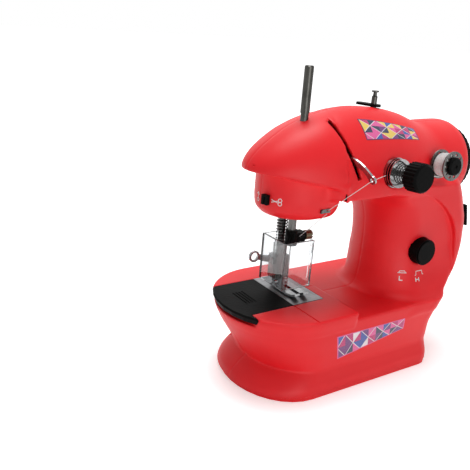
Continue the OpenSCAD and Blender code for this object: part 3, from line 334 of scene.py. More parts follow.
def spun_thread():
    material, wire, link = finish("white_spun_thread", Roughness=0.85, Sheen_Weight=0.2)
    fibre, colour = two_tone(wire, 2600.0, 2.0, (0.3, grey(0.62)), (0.7, (0.86, 0.86, 0.85)))
    link(Base_Color=colour, Normal=wire.node("ShaderNodeBump", Strength=0.4, Distance=0.0001, Height=fibre))
    return material


guard_plastic = clear_guard()
thread_finish = spun_thread()
for piece in threads.values():
    piece.data.materials.append(thread_finish)
print("guard and thread made")

# %% [markdown]
# Now the shell. It is all soft curves that flow into each other, which hard solids show only roughly. Here
# the body is a field: a function that is negative inside the body, positive outside and zero on its skin.
# Each form, such as the bowl of the bed or the dome, is given by a few slices with smooth curves between
# them, and two forms are joined by a soft minimum, which leaves a fillet where they meet.

# %% Slices of the body, in millimetres
# Upright forms: height, left end, right end, half depth, left rounding, right rounding
FOOT = [[3, -78.3, 77.3, 45.8, 38, 12], [7, -76.8, 77.4, 45.5, 38, 12], [12, -72.4, 77.9, 44, 36, 12.5],
        [18, -65, 77.9, 42, 34, 13], [28, -52, 76.5, 39, 30, 13]]
BOWL = [[8, -57, 77.6, 40, 30, 13], [18, -64.5, 77.9, 42, 36, 13], [32, -73, 77, 44.5, 42, 14],
        [46, -81.5, 82, 46.5, 46, 16], [53, -84.3, 88, 46.8, 48, 18], [54, -84.3, 88.4, 46.8, 48, 18]]
LAND = [[48, -82, -8, 47, 48, 4], [59, -86.5, -8, 49, 50, 4], [60, -86.5, -8, 49, 50, 4]]
COLUMN = [[48, 24, 81.7, 45, 30, 16], [54, 29, 86.9, 42, 30, 12], [60, 31.5, 95.8, 38, 30, 9],
          [70, 33, 105, 33, 28, 8], [80, 33.5, 110, 30.5, 28, 9], [90, 33.5, 112, 29.5, 28, 12],
          [105, 32.5, 110, 30, 28, 16], [120, 28, 106, 31.5, 26, 20], [130, 18, 101, 33, 24, 20],
          [137, 5, 97, 33.8, 20, 20]]
COLUMN_BACK, FLARE_TOP = 30.5, 80.0  # depth of the column's back below the height where its foot flares
# The raised band that sweeps from the arm down the column's right edge
BAND = [[63, 94.5, 97.2, 34.5, 1, 2], [66, 96, 100.8, 34.6, 2, 5], [75, 98, 108.4, 33, 2, 8],
        [92, 96, 113, 32.5, 2, 12], [108, 88, 110.5, 34, 2, 14], [116, 80.5, 107.5, 34, 2, 14],
        [124, 70, 104.5, 34, 2, 14], [130, 58, 102, 33.8, 2, 14], [135, 40, 99.5, 33.5, 2, 14],
        [142, 32, 96.5, 29, 2, 14]]
HEAD = [[118.5, -53, -14, 18, 20, 16], [121, -59, -8, 23, 25, 21], [126, -62.5, -5.5, 25.5, 29, 24],
        [132, -63, -5, 26.5, 30, 25], [156, -63, -5, 26.5, 30, 25]]
# The filled corner between the head and the skirt of the arm
GUSSET = [[134.2, -33.5, -20.4, 34.1, 12, 0.5], [142.6, -33.5, -20.4, 34.1, 12, 0.5]]
# The dome: place along the arm, underside, top, half depth
DOME = [[-76, 150.5, 152.5, 2], [-73.5, 150.3, 157, 9], [-68, 150, 163, 16], [-58, 148.5, 170.5, 23.5],
        [-45, 146, 178, 29.5], [-30, 143, 183.5, 33.5], [-20.8, 141.3, 185.5, 34.3], [-20, 134, 185.7, 34.4],
        [-12, 134, 187.3, 35], [5, 134, 188.7, 35.3], [25, 134, 187.6, 34.5], [45, 134, 184, 33.5],
        [60, 134, 179, 32], [75, 134, 173, 30], [90, 134, 166, 26]]
# The motor pod: place along the shaft, radius
POD = [[64, 30], [75, 30.6], [88, 31], [98, 31], [103, 30.4], [106, 29]]
SHAFT_Y, SHAFT_Z = 4.0, 146.0
WALL = 2.5


def through(rows, at):
    """Smooth values at the places `at`, through rows of [place, value, value, ...]."""
    rows = np.asarray(rows, float)
    place, gap = rows[:, 0], np.diff(rows[:, 0])
    i = np.clip(np.searchsorted(place, at) - 1, 0, len(gap) - 1)
    s = np.clip((at - place[i])/gap[i], 0, 1)
    found = []
    for value in rows[:, 1:].T:
        slope = np.diff(value)/gap
        product = slope[:-1]*slope[1:]
        total = np.where(product > 0, slope[:-1] + slope[1:], 1.0)
        tangent = np.concatenate([slope[:1], np.where(product > 0, 2*product/total, 0.0), slope[-1:]])
        found.append((1 + 2*s)*(1 - s)**2*value[i] + s*(1 - s)**2*gap[i]*tangent[i]
                     + s*s*(3 - 2*s)*value[i + 1] - s*s*(1 - s)*gap[i]*tangent[i + 1])
    return found


def oval(u, v, a, b):
    """Near distance to an ellipse of half axes a and b."""
    reach = np.sqrt((u/a)**2 + (v/b)**2)
    return reach*(reach - 1)/np.maximum(np.sqrt((u/a**2)**2 + (v/b**2)**2), 1e-6)


def both(a, b, soft):
    """Inside either of two forms, with a fillet of about this size."""
    h = np.maximum(soft - np.abs(a - b), 0)/soft
    return np.minimum(a, b) - h*h*soft/4


def only(a, b, soft):
    """Inside both forms, with a rounded edge."""
    return -both(-a, -b, soft)


def upright(rows, x, y, z, edge=1.5):
    """A form made of level slices, each an oval at its left end and a rounded square at its right."""
    left, right, half, a, c = through(rows, z)
    y = np.abs(y)
    u, v = x - (right - c), y - (half - c)
    square = np.hypot(np.maximum(u, 0), np.maximum(v, 0)) + np.minimum(np.maximum(u, v), 0) - c
    side = np.where(x < left + a, oval(x - left - a, y, a, half), square)
    return only(side, np.maximum(rows[0][0] - z, z - rows[-1][0]), edge)


def dome(x, y, z):
    """The arm's dome: half ovals side by side along the arm, flat below."""
    under, top, half = through(DOME, x)
    arch = oval(y, z - under, half, top - under)
    return np.maximum(only(arch, under - z, 1.2), np.maximum(DOME[0][0] - x, x - DOME[-1][0]))


def pod(x, y, z):
    """The round motor housing about the main shaft."""
    radius, = through(POD, x)
    ends = np.maximum(POD[0][0] - x, x - POD[-1][0])
    return only(np.hypot(y - SHAFT_Y, z - SHAFT_Z) - radius, ends, 2.5)


def column(x, y, z):
    """The column, which flares into the bed at the front and stands nearly upright at the back."""
    deep = through(COLUMN, z)[2]
    back = np.where((y > 0) & (z < FLARE_TOP), np.maximum(deep/COLUMN_BACK, 1), 1)
    return upright(COLUMN, x, y*back, z)


def body(x, y, z, trim=True):
    """The whole body's outer skin, with nothing cut into it; trim adds the raised band and the bed's land."""
    arm = both(column(x, y, z), dome(x, y, z), 5)
    arm = both(arm, pod(x, y, z), 3)
    arm = both(arm, upright(HEAD, x, y, z), 1.6)
    arm = both(arm, upright(GUSSET, x, y, z, 1.2), 4.5)
    bed = both(upright(FOOT, x, y, z, 0.8), upright(BOWL, x, y, z, 2.0), 1.2)
    if trim:
        arm = both(arm, upright(BAND, x, y, z), 1.0)
        bed = both(bed, upright(LAND, x, y, z), 1.2)
    return both(arm, bed, 6)


# %% [markdown]
# The shell is hollow and has openings: the slot of the take-up lever, the hole under the head where the two
# bars come out, the button, the switch, the recess that takes the needle plate and slide cover, the seats of
# the tension unit and the bobbin, and the holes at the back. They could be booleans, but each is simply one
# more field that is cut away, and its edges come out rounded like moulded ones.

# %% Openings, in millimetres
LEAN = math.radians(4)
SLOT_AT, SLOT_LEAN, SLOT_W, SLOT_LEN = (-10.6, 147.0), math.radians(-21.3), 3.0, 37.0
NEEDLE_X, BAR_GAP, BAR_HOLE, BAR_HOLE_Z = -31.5, 11.0, 5.2, 119.0
LAND_TOP, PLATE_T, PLATE_HALF = 60.0, 1.2, 24.3
OVER_LAND, WELL_FLOOR = 70.0, 49.0
PLATE_X = (-43.3, -16.7)
COVER_X = -77.0
BUTTON_AT, BUTTON_HOLE = (63.0, 87.5), 10.05
SWITCH_AT, SWITCH_LEAN = (110.0, -22.0, 108.0), math.radians(-15)
REAR_SCREWS = [(72.5, 47), (-54, 14), (100, 88), (45.5, 100), (50, 162), (-56, 158)]
REAR_JACKS = [(62, 34), (44, 34)]
SCREW_HOLE, JACK_HOLE, SHAFT_HOLE = 2.86, 5.1, 6.0
TENSION_SEAT, BOBBIN_SEAT = 10.3, 5.8


def block(x, y, z, low, high):
    """A box between two corners."""
    level = np.maximum(np.maximum(low[0] - x, x - high[0]), np.maximum(low[1] - y, y - high[1]))
    return np.maximum(level, np.maximum(low[2] - z, z - high[2]))


def leaning_disc(x, y, z, at, radius, back):
    """A round seat on the leaning front, open towards the viewer."""
    out = -(y - at[1])*math.cos(LEAN) + (z - at[2])*math.sin(LEAN)
    up = (y - at[1])*math.sin(LEAN) + (z - at[2])*math.cos(LEAN)
    return np.maximum(np.hypot(x - at[0], up) - radius, back - out)


def openings(x, y, z):
    """Negative wherever plastic is cut away."""
    s, c = math.sin(SLOT_LEAN), math.cos(SLOT_LEAN)
    across = (x - SLOT_AT[0])*c - (z - SLOT_AT[1])*s
    upward = (x - SLOT_AT[0])*s + (z - SLOT_AT[1])*c
    slot = np.maximum(np.abs(across) - SLOT_W/2, np.abs(upward - SLOT_LEN/2) - SLOT_LEN/2)
    cuts = [np.maximum(slot, y + 8)]
    reach = np.abs(y - SHAFT_Y - BAR_GAP/2) - BAR_GAP/2
    bars = np.hypot(x - NEEDLE_X, np.maximum(reach, 0)) - BAR_HOLE
    cuts.append(np.maximum(bars, np.abs(z - BAR_HOLE_Z) - 6))
    cuts.append(np.maximum(np.hypot(x - BUTTON_AT[0], z - BUTTON_AT[1]) - BUTTON_HOLE, y + 20))
    s, c = math.sin(SWITCH_LEAN), math.cos(SWITCH_LEAN)
    out = (x - SWITCH_AT[0])*c - (z - SWITCH_AT[2])*s
    up = (x - SWITCH_AT[0])*s + (z - SWITCH_AT[2])*c
    cuts.append(block(out, y - SWITCH_AT[1], up, (-13, -5, -7.5), (13, 5, 7.5)))
    cuts.append(block(out, y - SWITCH_AT[1], up, (0.6, -6.3, -8.8), (13, 6.3, 8.8)))
    floor = LAND_TOP - PLATE_T
    for low, high in (((COVER_X - 1, -PLATE_HALF, floor), (PLATE_X[1], PLATE_HALF, OVER_LAND)),
                      ((PLATE_X[0] + 3.3, -21, WELL_FLOOR), (PLATE_X[1] - 3.3, 21, OVER_LAND)),
                      ((COVER_X + 10, -18, WELL_FLOOR), (PLATE_X[0] - 2.7, 18, OVER_LAND))):
        cuts.append(block(x, y - SHAFT_Y, z, low, high))
    core = np.maximum(upright(LAND, x, y, np.full_like(z, 59.5)) + 1.4, z - floor + 0.3)
    cuts.append(np.maximum(np.maximum(x - COVER_X - 0.3, np.abs(z - LAND_TOP) - 6.3), -core))
    cuts.append(block(x, y, z, (PLATE_X[0] - 0.15, -60, LAND_TOP - 0.9),
                      (PLATE_X[0] + 0.75, SHAFT_Y - PLATE_HALF, OVER_LAND)))
    cuts.append(leaning_disc(x, y, z, TENSION_AT, TENSION_SEAT, -0.6))
    cuts.append(leaning_disc(x, y, z, BOBBIN_AT, BOBBIN_SEAT, 0.0))
    cuts.append(np.maximum(np.hypot(y - SHAFT_Y, z - SHAFT_Z) - SHAFT_HOLE, 95 - x))
    for sx, sz in REAR_SCREWS:
        cuts.append(np.maximum(np.hypot(x - sx, z - sz) - SCREW_HOLE, 14 - y))
    for sx, sz in REAR_JACKS:
        cuts.append(np.maximum(np.hypot(x - sx, z - sz) - JACK_HOLE, 30 - y))
    low = cuts[0]
    for cut in cuts[1:]:
        low = np.minimum(low, cut)
    return low


def shell(x, y, z):
    """The hollow shell: the body, less its inside, less its openings."""
    inside = body(x, y, np.maximum(z, FOOT[0][0] + 4*WALL), trim=False) + WALL
    return only(only(body(x, y, z), -inside, 0.3), -openings(x, y, z), 0.5)


# %% [markdown]
# To draw a field's skin, we sample it on a grid and put one point in every cell that the skin crosses, then
# join the points of neighbouring cells. A few corrections along the field's slope pull each point exactly
# onto the skin, so the surface comes out smooth. One layer of cells is centred on the parting plane, so its
# points can be set on that plane and the skin splits there into the front and rear shells.

# %% Draw the skin
PROBE = 0.05


def slope_of(field, points):
    """The field's values at points, and how steeply it rises there along X, Y and Z."""
    value = field(*points.T)
    return value, np.stack([(field(*(points + PROBE*e).T) - value)/PROBE for e in np.eye(3)], axis=1)


def settle(field, points, rounds=3, most=0.6, in_plane=False):
    """Moves points onto the field's zero level, along its slope; in_plane keeps their depth."""
    for _ in range(rounds):
        value, slope = slope_of(field, points)
        if in_plane:
            slope[:, 1] = 0
        move = (value/np.maximum((slope**2).sum(1), 0.25))[:, None]*slope
        points = points - np.clip(move, -most, most)
    return points


def skin(field, low, high, step):
    """Points and four-sided faces on the field's zero level."""
    axes = [np.arange(a, b + step, step) for a, b in zip(low, high)]
    value = field(axes[0][:, None, None], axes[1][None, :, None], axes[2][None, None, :]).astype(np.float32)
    inside = value < 0
    count = np.zeros([len(a) - 1 for a in axes], np.int8)
    for i in (0, 1):
        for j in (0, 1):
            for k in (0, 1):
                count += inside[i:count.shape[0] + i, j:count.shape[1] + j, k:count.shape[2] + k]
    crossed = (count > 0) & (count < 8)
    cells = np.argwhere(crossed)
    number = np.full(count.shape, -1, np.int64)
    number[crossed] = np.arange(len(cells))
    total, hits = np.zeros((len(cells), 3)), np.zeros(len(cells))
    faces = []
    for axis in range(3):
        along, u, v = np.eye(3, dtype=int)[[axis, (axis + 1) % 3, (axis + 2) % 3]]
        for near in (0*u, u, v, u + v):
            a = value[tuple((cells + near).T)]
            b = value[tuple((cells + near + along).T)]
            cross = (a < 0) != (b < 0)
            share = np.where(cross, a/np.where(cross, a - b, 1), 0)
            total[cross] += (near + along*share[:, None])[cross]
            hits[cross] += 1
        first = np.take(inside, range(inside.shape[axis] - 1), axis)
        second = np.take(inside, range(1, inside.shape[axis]), axis)
        edges = np.argwhere(first != second)
        fits = (edges[:, (axis + 1) % 3] > 0) & (edges[:, (axis + 2) % 3] > 0)
        fits &= np.all(edges < np.array(count.shape), axis=1)
        edges = edges[fits]
        ring = [number[tuple((edges - o).T)] for o in (0*u, u, u + v, v)]
        quad = np.stack(ring, axis=1)
        out = first[tuple(edges.T)]
        faces.append(np.where(out[:, None], quad, quad[:, ::-1]))
    return np.array(low) + (cells + total/hits[:, None])*step, cells, np.concatenate(faces), number, inside


STEP = 1.0
DEPTH = 52.0
LAYER = math.ceil(DEPTH/STEP)  # the layer of cells that is centred on the parting plane
GRID_LOW, GRID_HIGH = (-89.0, -(LAYER + 0.5)*STEP, 0.6), (116.0, DEPTH, 192.0)
points, cells, quads, number, solid = skin(shell, GRID_LOW, GRID_HIGH, STEP)
points = settle(shell, points)
parting = cells[:, 1] == LAYER
points[parting, 1] = 0.0
points[parting] = settle(shell, points[parting], most=0.5, in_plane=True)
print("skin points", len(points), "faces", len(quads))

# %% [markdown]
# The two halves meet in a fine line that shows on the dome and on the foot. Points on that line are sunk by
# a fraction of a millimetre, which leaves the small V that two moulded edges make. Each half is closed at the
# parting plane by a flat rim, with one face for each grid square of plastic.

# %% Front and rear shells
PARTING_SUNK = 0.22
on_skin = parting & (np.abs(body(*points.T)) < 0.4)
_, slope = slope_of(body, points[on_skin])
slope[:, 1] = 0
points[on_skin] -= PARTING_SUNK*slope/np.maximum(np.linalg.norm(slope, axis=1), 0.3)[:, None]


def half_shell(name, node, sign):
    """One half of the skin, closed at the parting plane."""
    mine = quads[(points[:, 1]*sign)[quads].max(1) > 1e-6]
    layer = number[:, LAYER, :].copy()
    wall = np.argwhere(solid[:, LAYER + (sign > 0), :])
    ring = np.stack([wall - o for o in ((1, 1), (0, 1), (0, 0), (1, 0))], axis=1)
    bare = np.unique(ring.reshape(-1, 2), axis=0)
    bare = bare[layer[tuple(bare.T)] < 0]
    layer[tuple(bare.T)] = len(points) + np.arange(len(bare))
    middle = np.zeros((len(bare), 3))
    middle[:, [0, 2]] = np.array([GRID_LOW[0], GRID_LOW[2]]) + (bare + 0.5)*STEP
    rim = layer[ring[..., 0], ring[..., 1]]
    mine = np.concatenate([mine, rim[:, ::-sign]])
    places = np.concatenate([points, middle])
    used, index = np.unique(mine, return_inverse=True)
    piece = mesh_piece(name, places[used]*MM, index.reshape(mine.shape).tolist())
    piece.data.set_sharp_from_angle(angle=math.radians(50))
    piece.data.materials.append(red_plastic)
    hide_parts(node)
    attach(piece, "frame")
    print(name, len(piece.data.polygons), "faces")


half_shell("front_half_shell", "front_shell", -1)
half_shell("rear_half_shell", "rear_shell", 1)

# %% [markdown]
# Where the skirt of the arm begins, beside the head, a dark slit shows between the two. It is about as narrow
# as one step of the skin's grid, too narrow to cut cleanly, so a small black strip of painted shadow stands in
# the skin there.

# %% Skirt end, a painted shadow
SLIT_X, SLIT_Y, SLIT_Z = (-21.6, -20.4), (-34.45, -31.2), (134.5, 141.6)
STRIP_FACES = [(0, 2, 3, 1), (4, 5, 7, 6), (0, 1, 5, 4), (2, 6, 7, 3), (0, 4, 6, 2), (1, 3, 7, 5)]

# A black box of painted shadow: it darkens the slit where shade falls into the hollow skirt.
corners = [(x*MM, y*MM, z*MM) for z in SLIT_Z for y in SLIT_Y for x in SLIT_X]
slit_shadow_strip = mesh_piece("skirt_slit_painted_shadow", corners, STRIP_FACES, smooth=False)
slit_shadow_strip.data.materials.append(black_plastic)
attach(slit_shadow_strip, "frame")
print("skirt end closed")

# %% [markdown]
# Two springs show: the long one round the presser bar and the small cone in the tension unit. Both are real
# coils of round wire. The presser spring stays where it stands at rest and is not tied to the presser.

# %% Springs
PRESSER_AT = (NEEDLE_X, SHAFT_Y + BAR_GAP)
SPRING_LOW, SPRING_HIGH, SPRING_R, SPRING_WIRE = 91.3, 120.4, 3.6, 0.5
CONE_RADII, CONE_HEIGHTS, CONE_WIRE = (7.0, 4.6), (5.4, 13.75), 0.35


def coil(turns, radii, heights, per_turn=28):
    """Points of a coil about Z, in millimetres; radii and heights run from first to last."""
    u = np.linspace(0, 1, int(turns*per_turn) + 1)
    a, r = 2*np.pi*turns*u, radii[0] + (radii[1] - radii[0])*u
    return np.stack([r*np.cos(a), r*np.sin(a), heights[0] + (heights[1] - heights[0])*u], axis=1)


def leaning_place(local, at):
    """From a leaning part's own axes to the frame, in millimetres."""
    x, y, z = np.asarray(local).T
    return np.stack([at[0] + x, at[1] - z*math.cos(LEAN) + y*math.sin(LEAN),
                     at[2] + z*math.sin(LEAN) + y*math.cos(LEAN)], axis=1)


line = coil(13, (SPRING_R, SPRING_R), (SPRING_LOW + SPRING_WIRE, SPRING_HIGH - SPRING_WIRE))
line = line + np.array([*PRESSER_AT, 0])
presser_coil = tube_mesh("presser_coil", line*MM, SPRING_WIRE*MM, sides=8)
presser_coil.data.materials.append(spring_steel)
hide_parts("presser_spring")
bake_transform(presser_coil)
cone = leaning_place(coil(5, CONE_RADII, CONE_HEIGHTS), TENSION_AT)
tension_coil = tube_mesh("tension_coil", cone*MM, CONE_WIRE*MM, sides=8)
tension_coil.data.materials.append(spring_steel)
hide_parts("tension_spring")
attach(tension_coil, "frame")
print("springs", len(line), len(cone))

# %% [markdown]
# The clear guard shows mostly by its cut edges, which look grey where light bends in them. In a small picture
# the bare edges of the solid get lost, so a fine grey bead runs along each edge that is seen and paints that
# shade on.
# It rides with the presser, as the guard does.

# %% Edges of the guard, with painted shade
GUARD_X, GUARD_Y, GUARD_Z = (-49.0, -25.0), (-13.0, 13.0), (68.5, 101.5)
EDGE_BEAD = 0.26


# The grey of these beads is painted shade: the dark look that the guard's cut edges get from light bending in
# them.
def painted_edge_shade():
    material, wire, link = finish("guard_edge_painted_shade", Roughness=0.3)
    link(Base_Color=two_tone(wire, 300.0, 2.0, (0.3, grey(0.12)), (0.7, (0.24, 0.24, 0.25)))[1])
    return material


guard_edge = painted_edge_shade()
(left, right), (near, far), (foot, top) = GUARD_X, GUARD_Y, GUARD_Z
EDGES = {
    "left_front": ((left, near, foot), (left, near, top)),
    "right_front": ((right, near, foot), (right, near, top)),
    "left_back": ((left, far, foot), (left, far, top)),
    "top_front": ((left, near, top), (right, near, top)),
    "foot_front": ((left, near, foot), (right, near, foot)),
    "top_side": ((left, near, top), (left, far, top)),
}
for name, (start, end) in EDGES.items():
    bead = tube_mesh("guard_edge_" + name, straight_path(start, end, 3), EDGE_BEAD*MM, sides=8)
    bead.data.materials.append(guard_edge)
    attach(bead, "presser")
print("guard edges", len(EDGES))

# %% [markdown]
# The bobbin is full of white thread. Seen close, the outer turns lie side by side and cross a little, so the
# winding is one long tube whose turns go over and back in two layers above a plain core.

# %% Thread on the bobbin
WOUND_R, WOUND_LOW, WOUND_HIGH = 8.0, 3.7, 12.7


def wound_path(turns=22, per_turn=26):
    """Thread laid along the bobbin and back, swelling slightly in the middle."""
    u = np.linspace(0, 1, turns*per_turn)
    height = WOUND_LOW + (WOUND_HIGH - WOUND_LOW)*(1 - np.abs(1 - 2*u))
    middle = 1 - ((height - (WOUND_LOW + WOUND_HIGH)/2)/((WOUND_HIGH - WOUND_LOW)/2))**2
    radius = WOUND_R - 0.35 + 0.3*middle + 0.14*(u > 0.5)
    a = 2*np.pi*turns*u
    return np.stack([radius*np.cos(a), radius*np.sin(a), height], axis=1)


def lathe(name, outline, at, sides=64):
    """A ring turned about a leaning part's axis, from an outline of [radius, height] in millimetres."""
    turns = np.linspace(0, 2*np.pi, sides, endpoint=False)
    rings = [[(r*math.cos(a), r*math.sin(a), h) for a in turns] for r, h in outline]
    places = leaning_place(np.array(rings).reshape(-1, 3), at)*MM
    n = len(outline)
    faces = []
    for k in range(n):
        a, b = k*sides, (k + 1) % n*sides
        faces += [(a + i, a + (i + 1) % sides, b + (i + 1) % sides, b + i) for i in range(sides)]
    return mesh_piece(name, places, faces)


core = lathe("bobbin_thread_core", [(4.3, WOUND_LOW - 0.15), (7.75, WOUND_LOW - 0.15), (8.05, 8.2),
                                    (7.75, WOUND_HIGH + 0.15), (4.3, WOUND_HIGH + 0.15)], BOBBIN_AT)
turns = tube_mesh("bobbin_thread_turns", leaning_place(wound_path(), BOBBIN_AT)*MM, THREAD_D*MM*0.55, sides=7)
for piece in (core, turns):
    piece.data.materials.append(thread_finish)
    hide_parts("bobbin_thread")
    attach(piece, "reel")
print("bobbin thread turns", len(turns.data.vertices))

# %% [markdown]
# Two printed labels sit on the shell: a small one on the dome and a long one on the front of the bed. Each is
# a thin sheet laid onto the skin point by point, which fits better than wrapping it with a modifier. Their
# print is patchwork, made in the shader from the label's own coordinates: squares split into triangles, each
# with a colour picked by its number.

# %% Labels
LABEL_LIFT = 0.12


def laid_sheet(name, corners, across, up, material):
    """A four-sided sheet, in millimetres, that follows the body's skin."""
    a, b, c, d = (np.array(p, float) for p in corners)
    u, v = np.meshgrid(np.linspace(0, 1, across + 1), np.linspace(0, 1, up + 1))
    u, v = u.ravel()[:, None], v.ravel()[:, None]
    flat = (a*(1 - u) + b*u)*(1 - v) + (d*(1 - u) + c*u)*v
    base = settle(body, flat, 6)
    _, slope = slope_of(body, base)
    base = base + LABEL_LIFT*slope/np.linalg.norm(slope, axis=1)[:, None]
    n = across + 1
    faces = [(k, k + 1, k + n + 1, k + n) for j in range(up) for k in range(j*n, j*n + across)]
    piece = mesh_piece(name, base*MM, faces)
    layer = piece.data.uv_layers.new(name="print")
    for loop in piece.data.loops:
        layer.data[loop.index].uv = (float(u[loop.vertex_index, 0]), float(v[loop.vertex_index, 0]))
    piece.data.materials.append(material)
    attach(piece, "frame")


def patchwork(name, columns, rows, colours, border):
    """Printed patchwork: triangles in picked colours, with pale seams and a border."""
    material, wire, link = finish(name, Roughness=0.28, Coat_Weight=0.4, Coat_Roughness=0.1)
    place = wire.node("ShaderNodeTexCoord", out=2)
    u = wire.node("ShaderNodeSeparateXYZ", out=0, Vector=place)
    v = wire.node("ShaderNodeSeparateXYZ", out=1, Vector=place)
    cu, cv = u*columns, v*rows
    fu, fv = cu.math("FRACT"), cv.math("FRACT")
    odd = (cu.math("FLOOR") + cv.math("FLOOR")).math("MODULO", 2.0)
    lean = odd*(fu - fv) + (1 - odd)*(fu + fv - 1)
    half = lean.step(0.0)
    key = wire.node("ShaderNodeCombineXYZ", X=cu.math("FLOOR"), Y=cv.math("FLOOR"), Z=half.math("ROUND"))
    pick = wire.node("ShaderNodeTexWhiteNoise", {"noise_dimensions": "3D"}, Vector=key)
    stops = [(k/len(colours), c) for k, c in enumerate(colours)]
    patch = pick.node("ShaderNodeValToRGB", {"stops": stops, "interpolation": "CONSTANT"}, Fac=pick)
    seam = 1 - lean.math("ABSOLUTE").step(0.05, 0.02)
    stitched = seam.mix(patch, (0.8, 0.75, 0.78))
    ends, sides = (u - 0.5).math("ABSOLUTE"), (v - 0.5).math("ABSOLUTE")
    edge = ends.step(0.485, 0.004).math("MAXIMUM", sides.step(0.46, 0.01))
    ink = wire.node("ShaderNodeTexNoise", Vector=place, Scale=240.0, Detail=2.0)
    link(Base_Color=edge.mix(stitched, border), Roughness=ink*0.12 + 0.22)
    return material


NAVY, MAGENTA, ROSE = srgb(30, 34, 74), srgb(196, 30, 112), srgb(232, 92, 160)
YELLOW, WHITE_INK = srgb(240, 206, 96), srgb(240, 232, 236)
VIOLET, BLUE = srgb(110, 44, 120), srgb(48, 84, 168)
DOME_LABEL = [(-1.9, -26, 171.1), (50.2, -23.2, 168.3), (48.2, -18.1, 175), (-2.8, -15.4, 182.8)]
BED_LABEL = [(-19, -43.2, 24.9), (40.6, -45, 36), (39.3, -46.3, 44.9), (-24.8, -46.3, 44.7)]
top_print = patchwork("dome_label_print", 7, 3, [NAVY, MAGENTA, YELLOW, ROSE, BLUE, VIOLET], srgb(92, 24, 84))
bed_print = patchwork("bed_label_print", 9, 2, [MAGENTA, ROSE, BLUE, VIOLET, NAVY, WHITE_INK], ROSE)
laid_sheet("dome_label", DOME_LABEL, 40, 14, top_print)
laid_sheet("bed_label", BED_LABEL, 48, 14, bed_print)
print("labels laid")

# %% [markdown]
# White printing marks the speed button, low and high, and the thread cutter on the head. Painting it in the
# shell's shader would need a texture map, so each mark is a set of pen strokes: narrow ribbons that are laid
# onto the skin the same way as the labels.

# %% Printed marks
def white_ink():
    material, wire, link = finish("white_mark_ink", Roughness=0.4)
    link(Base_Color=two_tone(wire, 900.0, 3.0, (0.25, (0.7, 0.62, 0.62)), (0.5, (0.85, 0.83, 0.83)))[1])
    return material


mark_ink = white_ink()


def stroke_ribbon(points, width, close):
    """A flat ribbon's left and right points along a pen stroke, in two dimensions."""
    points = np.array(points, float)
    if close:
        points = np.vstack([points, points[:1]])
    fine = [points[0]]
    for a, b in zip(points[:-1], points[1:]):
        steps = max(1, int(np.linalg.norm(b - a)/0.6))
        fine += [a + (b - a)*k/steps for k in range(1, steps + 1)]
    fine = np.array(fine)
    along = np.gradient(fine, axis=0)
    along /= np.maximum(np.linalg.norm(along, axis=1), 1e-9)[:, None]
    side = np.stack([-along[:, 1], along[:, 0]], axis=1)*width/2
    return fine + side, fine - side


def mark(name, at, strokes, width):
    """Strokes drawn on the skin round a point, with across to the right and up."""
    place = settle(body, np.array([at], float), 8)
    at, normal = place[0], slope_of(body, place)[1][0]
    normal /= np.linalg.norm(normal)
    across = np.cross((0, 0, 1), normal)
    across /= np.linalg.norm(across)
    up = np.cross(normal, across)
    points, faces = [], []
    for stroke, close in strokes:
        left, right = stroke_ribbon(stroke, width, close)
        first = len(points)
        points += [at + across*p[0] + up*p[1] for pair in zip(left, right) for p in pair]
        starts = range(first, first + 2*len(left) - 2, 2)
        faces += [(k + 1, k + 3, k + 2, k) for k in starts]
    laid = settle(body, np.array(points), 5) + normal*LABEL_LIFT
    piece = mesh_piece(name, laid*MM, faces)
    piece.data.materials.append(mark_ink)
    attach(piece, "frame")


def ring(x, y, r, n=14):
    """Corners of a small round stroke."""
    return [(x + r*math.cos(2*math.pi*k/n), y + r*math.sin(2*math.pi*k/n)) for k in range(n)]


# Each stroke is its points and whether it closes
LETTER_L = [([(-1.1, 1.5), (-1.1, -1.5), (1.3, -1.5)], False)]
LETTER_H = [([(-1.5, -1.5), (-1.5, 1.5)], False), ([(1.5, -1.5), (1.5, 1.5)], False),
            ([(-1.5, 0), (1.5, 0)], False)]
BUTTON_IN = [([(-3.4, -0.9), (3.4, -0.9)], False),
             ([(-2.6, -0.9), (-1.8, 0.5), (1.8, 0.5), (2.6, -0.9)], False)]
BUTTON_OUT = [([(-4.3, -1.4), (-3.3, -1.4), (-2.9, 1.5), (2.9, 1.5), (3.3, -1.4), (4.3, -1.4)], False)]
SCISSORS = [([(-4, 0.9), (0.6, -0.6)], False), ([(-4, -0.9), (0.6, 0.6)], False),
            (ring(2, 1.1, 1.2), True), (ring(2, -1.1, 1.2), True)]
THREADING = [(ring(0, -2, 1.1), True), ([(0, -0.9), (0, 3)], False), ([(0, 3), (-1.6, 1.4)], False),
             ([(0, 3), (1.2, 1.2)], False)]
MARKS = {  # where it is, its strokes, and the width of the pen
    "mark_low": ((47.2, -30, 68), LETTER_L, 0.75),
    "mark_high": ((59.9, -34.5, 66.6), LETTER_H, 0.75),
    "mark_button_in": ((48.6, -29, 72.6), BUTTON_IN, 0.5),
    "mark_button_out": ((62.4, -32.8, 70.9), BUTTON_OUT, 0.5),
    "mark_scissors": ((-59.2, -12.8, 131.8), SCISSORS, 0.5),
    "mark_threading": ((-62.8, 2.6, 131.8), THREADING, 0.45),
}
for name, (at, strokes, width) in MARKS.items():
    mark(name, at, strokes, width)
print("marks drawn", len(MARKS))

# %% [markdown]
# The other solids keep their CAD shapes, which are right as they are, and take the finish of the slot that
# the record gives them. A few have one of their own: flat steel such as the needle plate has its scratches
# along the bed instead of upright, and the pins on the arm are darker.

